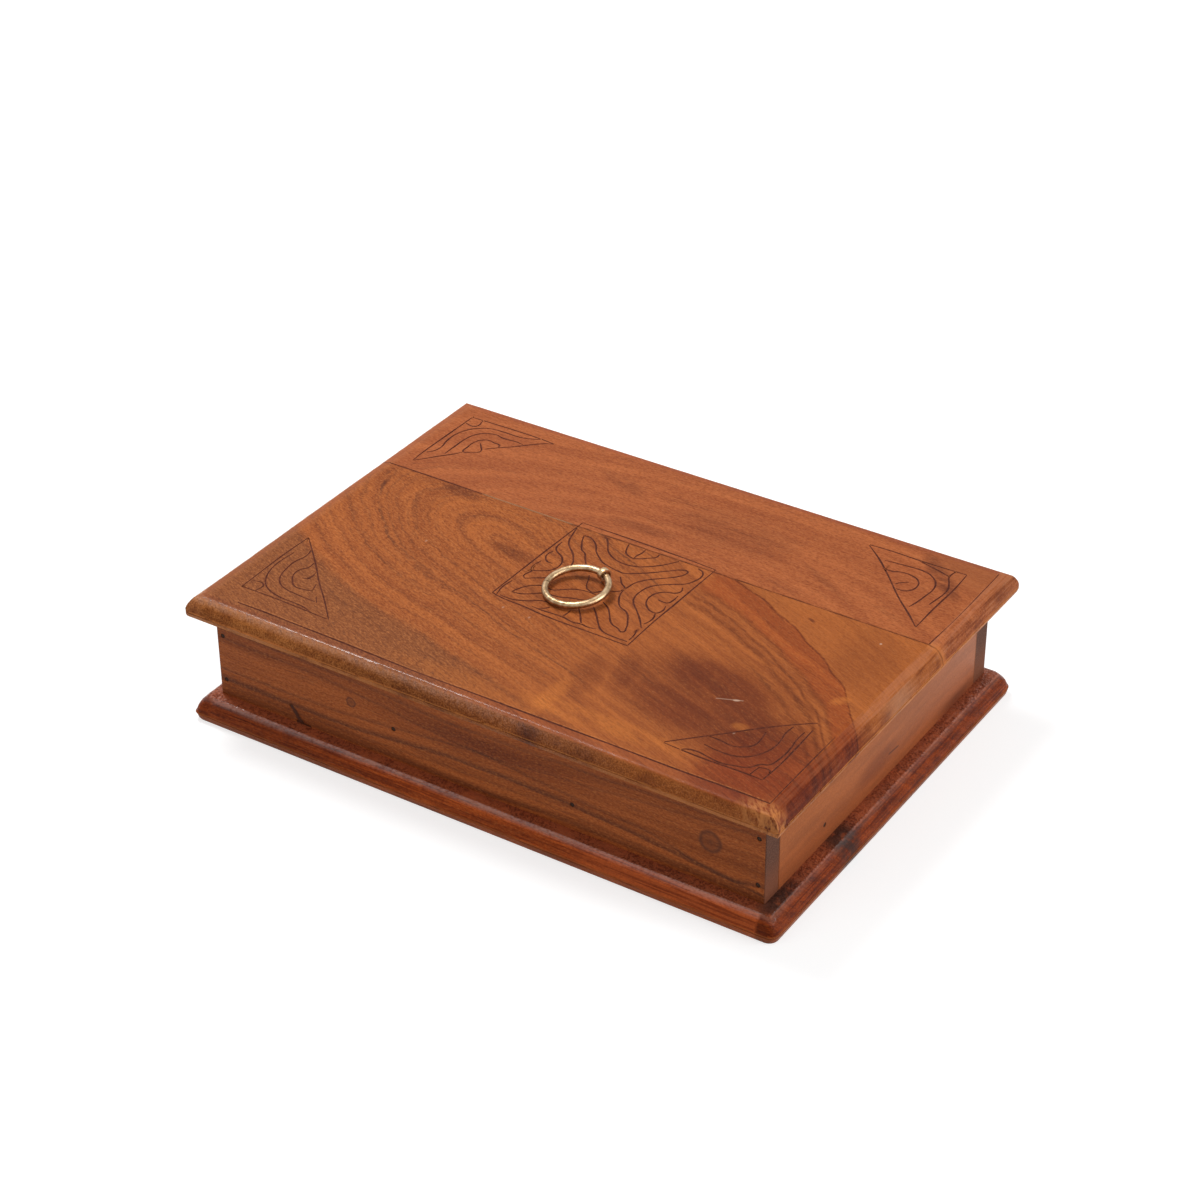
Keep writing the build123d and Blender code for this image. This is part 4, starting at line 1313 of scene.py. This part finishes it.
class BoxBase(bpy.types.Operator):
    """Model the base's two moulded boards"""

    bl_idname = "mesh.box_base"
    bl_label = "Base boards"

    def execute(self, context):
        sizes, hand = settings("base_moulding"), settings("handwork")
        places = board_section(sizes, BASE_HIGH.z - BASE_LOW.z, hand.scratch)
        board = moulded_board(
            "base_board", BASE_LOW, BASE_HIGH, places, BASE_CORNERS, hand.cut_spacing,
            mitred=False,
        )
        hand_plane(board, BASE_LOW, BASE_HIGH, sizes.crest_inset + 0.3, hand)
        front, rear = split_board(
            board, "base_front_moulded", "base_rear_moulded", BASE_JOINT, 0, hand, BASE_HIGH.z
        )
        finish = base_finish()
        for piece, node in ((front, "base_front_plank"), (rear, "base_rear_plank")):
            dress(piece, "case", "base_wood", finish, stands_for=(node,))
            shade_board(piece)
        return {"FINISHED"}


class BoxWalls(bpy.types.Operator):
    """Finish the walls, the partitions and the cleats"""

    bl_idname = "mesh.box_walls"
    bl_label = "Walls and partitions"

    def execute(self, context):
        finish_nodes(wall_finish(), "front_wall", "back_wall", "left_wall", "right_wall")
        finish_nodes(
            inner_finish(), "divider_left", "divider_right", "small_partition",
            "lid_batten_left", "lid_batten_right",
        )
        return {"FINISHED"}


class BoxNails(bpy.types.Operator):
    """Model one wire nail, drive its copies in by group and finish them"""

    bl_idname = "mesh.box_nails"
    bl_label = "Nails"

    def execute(self, context):
        metal = settings("metalwork")
        finish = iron_finish()
        sunk = metal.nail_set
        quarter, half = math.radians(90), math.radians(180)
        long_walls = (
            (WALL_LOW.y + sunk, (quarter, 0, 0)), (WALL_HIGH.y - sunk, (-quarter, 0, 0)),
        )
        driven = {
            node: [((x, y, z), turn) for x, z in places for y, turn in long_walls]
            for node, places in (("corner_nails", CORNER_NAILS), ("divider_nails", DIVIDER_NAILS))
        }
        driven["partition_nail"] = [((WALL_HIGH.x - sunk, *PARTITION_NAIL), (0, quarter, 0))]
        for node, places, level in (
            ("base_nails", BASE_NAILS, sunk),
            ("batten_nails", BATTEN_NAILS, LID_LOW.z - BATTEN_DEPTH + sunk),
        ):
            driven[node] = [((x, y, level), (half, 0, 0)) for x, y in places]
        for node, nails in driven.items():
            pattern = model_nail(metal, NAIL_LENGTHS[node])
            made = [twin(pattern, node + "_driven") for _ in nails]
            discard(pattern)
            for nail, (place, turn) in zip(made, nails):
                nail.location = Vector(place) * MM
                nail.rotation_euler = turn
            work_on(made[0])
            for nail in made:
                nail.select_set(True)
            if len(made) > 1:
                bpy.ops.object.join()
            settle(made[0])
            body = "lid" if node == "batten_nails" else "case"
            dress(made[0], body, "nail_iron", finish, stands_for=(node,))
            smooth(made[0], 40)
        return {"FINISHED"}


def model_nail(metal, length):
    """A wire nail that points down: domed head, rim, shank and point."""
    radius = metal.nail_head * MM
    nail = begin("circle", "nail", vertices=20, radius=radius, fill_type="NGON")
    edit(nail)
    for rise, scale in ((0.12, 0.86), (0.08, 0.6), (0.03, 0.45)):
        extrude((0, 0, rise * MM))
        resize(scale, scale, 1)
    select_parts(nail, "edges", lambda place: abs(place.z) < 0.001)
    shank = metal.nail_shank / metal.nail_head
    for drop, scale in ((metal.nail_rim, 1), (0.001, shank), (length - 4, 1), (3, 0.18)):
        extrude((0, 0, -drop * MM))
        resize(scale, scale, 1)
    bpy.ops.mesh.edge_face_add()
    settle(nail)
    return nail


class BoxRing(bpy.types.Operator):
    """Model the pull ring and the staple that holds it"""

    bl_idname = "mesh.box_ring"
    bl_label = "Ring and staple"

    def execute(self, context):
        metal, brass = settings("metalwork"), brass_finish()
        ring, staple = model_ring(metal), model_staple(metal)
        dress(ring, "ring", "brass", brass, stands_for=("pull_ring",))
        dress(staple, "lid", "brass", brass, stands_for=("ring_staple",))
        smooth(ring, 50)
        smooth(staple, 40)
        return {"FINISHED"}


def model_ring(metal):
    """A ring of wire whose ends butt, lying on the lid and through the staple's eye."""
    rise = PIVOT.z - LID_TOP - metal.wire_radius - metal.ring_gap
    tilt = math.asin(rise / (2 * metal.ring_radius))
    to_pivot = HEADING * math.cos(tilt) + UP * math.sin(tilt)
    middle = PIVOT - to_pivot * metal.ring_radius
    axis = to_pivot.cross(SWING)
    gap = metal.butt_gap / metal.ring_radius
    first = Matrix.Rotation(metal.butt_angle + gap / 2, 3, axis) @ to_pivot
    along = axis.cross(first)
    ring = begin("circle", "brass_ring", vertices=24, radius=metal.wire_radius * MM)
    ring.matrix_world = Matrix.Translation((middle + first * metal.ring_radius) * MM) @ (
        along.to_track_quat("Z", "Y").to_matrix().to_4x4()
    )
    apply_place()
    edit(ring)
    bpy.ops.mesh.spin(steps=128, angle=2 * math.pi - gap, center=middle * MM, axis=axis)
    bpy.ops.mesh.select_all(action="SELECT")
    bpy.ops.mesh.fill_holes(sides=0)
    settle(ring)
    texture = bpy.data.textures.new("hammered wire", "CLOUDS")
    texture.noise_scale = 3.5 * MM
    apply_modifier(
        ring, "DISPLACE", texture=texture, texture_coords="LOCAL",
        strength=metal.hammering * MM, mid_level=1.0,
    )
    return ring


def model_staple(metal):
    """A strip bent round the ring's wire, down through the lid, with its feet bent out."""
    radius = metal.eye_bore + metal.strip / 2
    middle = PIVOT + UP * metal.eye_play
    half_gap = (metal.strip + metal.slot) / 2
    foot_level = LID_LOW.z - metal.strip / 2
    staple = begin("circle", "brass_staple", vertices=48, radius=radius * MM)
    turned_up = Matrix((HEADING, UP, HEADING.cross(UP))).transposed()
    staple.matrix_world = Matrix.Translation(middle * MM) @ turned_up.to_4x4()
    apply_place()
    edit(staple)
    select_parts(
        staple, "verts",
        lambda place: abs((place - middle).dot(HEADING)) < half_gap * 0.9 and place.z < middle.z,
    )
    bpy.ops.mesh.delete(type="VERT")
    for side in (-1, 1):
        mesh = bmesh.from_edit_mesh(staple.data)
        ends = [vert for vert in mesh.verts if len(vert.link_edges) == 1]
        end = min(ends, key=lambda vert: ((vert.co / MM - middle).dot(HEADING) * -side))
        place = end.co / MM
        bpy.ops.mesh.select_all(action="DESELECT")
        end.select_set(True)
        bmesh.update_edit_mesh(staple.data)
        neck = middle - UP * radius * 1.04 + HEADING * side * half_gap
        foot = Vector((*(PIVOT + HEADING * side * half_gap).xy, foot_level))
        tip = foot + HEADING * side * metal.foot
        for goal in (neck, foot, tip):
            extrude((goal - place) * MM)
            place = goal
    bpy.ops.mesh.select_all(action="SELECT")
    bpy.ops.transform.translate(value=-SWING * metal.strip_width / 2 * MM)
    extrude(SWING * metal.strip_width * MM)
    settle(staple)
    apply_modifier(staple, "SOLIDIFY", thickness=metal.strip * MM, offset=0.0)
    apply_modifier(
        staple, "BEVEL", width=0.16 * MM, segments=2, limit_method="ANGLE",
        angle_limit=math.radians(50),
    )
    settle(staple)
    return staple


class BoxStudio(bpy.types.Operator):
    """Set the floor, the lamps and the camera at the photograph's angle"""

    bl_idname = "scene.box_studio"
    bl_label = "Studio"

    def execute(self, context):
        studio = settings("studio")
        add_camera(studio)
        add_floor(studio)
        light_world(studio)
        add_lamp("top_lamp", *TOP_LAMP, studio.top_light)
        add_lamp("front_lamp", *FRONT_LAMP, studio.front_light).visible_glossy = False
        add_lamp("side_lamp", *SIDE_LAMP, studio.side_light)
        context.scene.view_settings.view_transform = "Standard"
        return {"FINISHED"}


def add_camera(studio):
    """The camera, aimed by its azimuth, elevation and roll."""
    turn, lift, roll = studio.azimuth, studio.elevation, studio.roll
    ahead = Vector(
        (-math.sin(turn) * math.cos(lift), math.cos(turn) * math.cos(lift), -math.sin(lift))
    )
    level_right = Vector((math.cos(turn), math.sin(turn), 0))
    level_down = ahead.cross(level_right)
    right = level_right * math.cos(roll) + level_down * math.sin(roll)
    up = level_right * math.sin(roll) - level_down * math.cos(roll)
    data = bpy.data.cameras.new("camera")
    data.lens, data.sensor_width = studio.focal_length, 36
    data.clip_start, data.clip_end = 0.05, 50
    camera = link(bpy.data.objects.new("camera", data))
    facing = Matrix((right, up, -ahead)).transposed()
    camera.matrix_world = Matrix.Translation(studio.camera_place) @ facing.to_4x4()
    bpy.context.scene.camera = camera


def add_floor(studio):
    """A pale floor, a hair under the box, that keeps its shadow."""
    floor = begin("plane", "floor", size=studio.floor_size, location=(0, 0, -0.0002))
    material = bpy.data.materials.new("pale_floor")
    nodes = NodeTree(material)
    pale = nodes.node("ShaderNodeBsdfDiffuse", {}, {"Color": (*[studio.floor_white] * 3, 1)})
    glow = nodes.node("ShaderNodeEmission", {}, {"Strength": studio.floor_glow})
    white = nodes.node("ShaderNodeAddShader", {}, {0: pale, 1: glow})
    nodes.node("ShaderNodeOutputMaterial", {}, {0: nodes.white_to_camera(pale, white)})
    floor.data.materials.append(material)


def light_world(studio):
    """Even light from the room, which camera and glossy rays see as white."""
    world = bpy.data.worlds.new("room")
    nodes = NodeTree(world)
    room = nodes.node("ShaderNodeBackground", {}, {"Strength": studio.world_light})
    white = nodes.node("ShaderNodeBackground", {}, {})
    nodes.node("ShaderNodeOutputWorld", {}, {0: nodes.white_to_camera(room, white)})
    bpy.context.scene.world = world


def add_lamp(name, place, size, power):
    """A soft square lamp that faces the box."""
    data = bpy.data.lights.new(name, "AREA")
    data.size, data.energy = size, power
    lamp = link(bpy.data.objects.new(name, data))
    lamp.location = place
    lamp.rotation_euler = (-Vector(place)).to_track_quat("-Z", "Y").to_euler()
    return lamp


GROUPS = {
    "lid_moulding": LidMoulding,
    "base_moulding": BaseMoulding,
    "handwork": Handwork,
    "carving": Carving,
    "metalwork": Metalwork,
    "colours": Colours,
    "studio": Studio,
}
OPERATORS = (BoxLid, BoxBase, BoxWalls, BoxNails, BoxRing, BoxStudio)


class BoxPanel(bpy.types.Panel):
    """The box's steps, in the 3D view's sidebar"""

    bl_idname = "VIEW3D_PT_box"
    bl_label = "Storage Box"
    bl_space_type = "VIEW_3D"
    bl_region_type = "UI"
    bl_category = "Box"

    def draw(self, context):
        for operator in OPERATORS:
            self.layout.operator(operator.bl_idname)


def register():
    """Registers the settings, the operators and the panel."""
    for name, group in GROUPS.items():
        bpy.utils.register_class(group)
        setattr(bpy.types.Scene, "box_" + name, PointerProperty(type=group))
    for cls in (*OPERATORS, BoxPanel):
        bpy.utils.register_class(cls)


def unregister():
    """Takes back what register added."""
    for cls in (BoxPanel, *reversed(OPERATORS)):
        bpy.utils.unregister_class(cls)
    for name, group in reversed(GROUPS.items()):
        delattr(bpy.types.Scene, "box_" + name)
        bpy.utils.unregister_class(group)


def main():
    """Builds the box's looks piece by piece."""
    register()
    for operator in OPERATORS:
        family, name = operator.bl_idname.split(".")
        result = getattr(getattr(bpy.ops, family), name)()
        if result != {"FINISHED"}:
            raise RuntimeError(operator.bl_label + " did not finish")


if __name__ == "__main__":
    main()
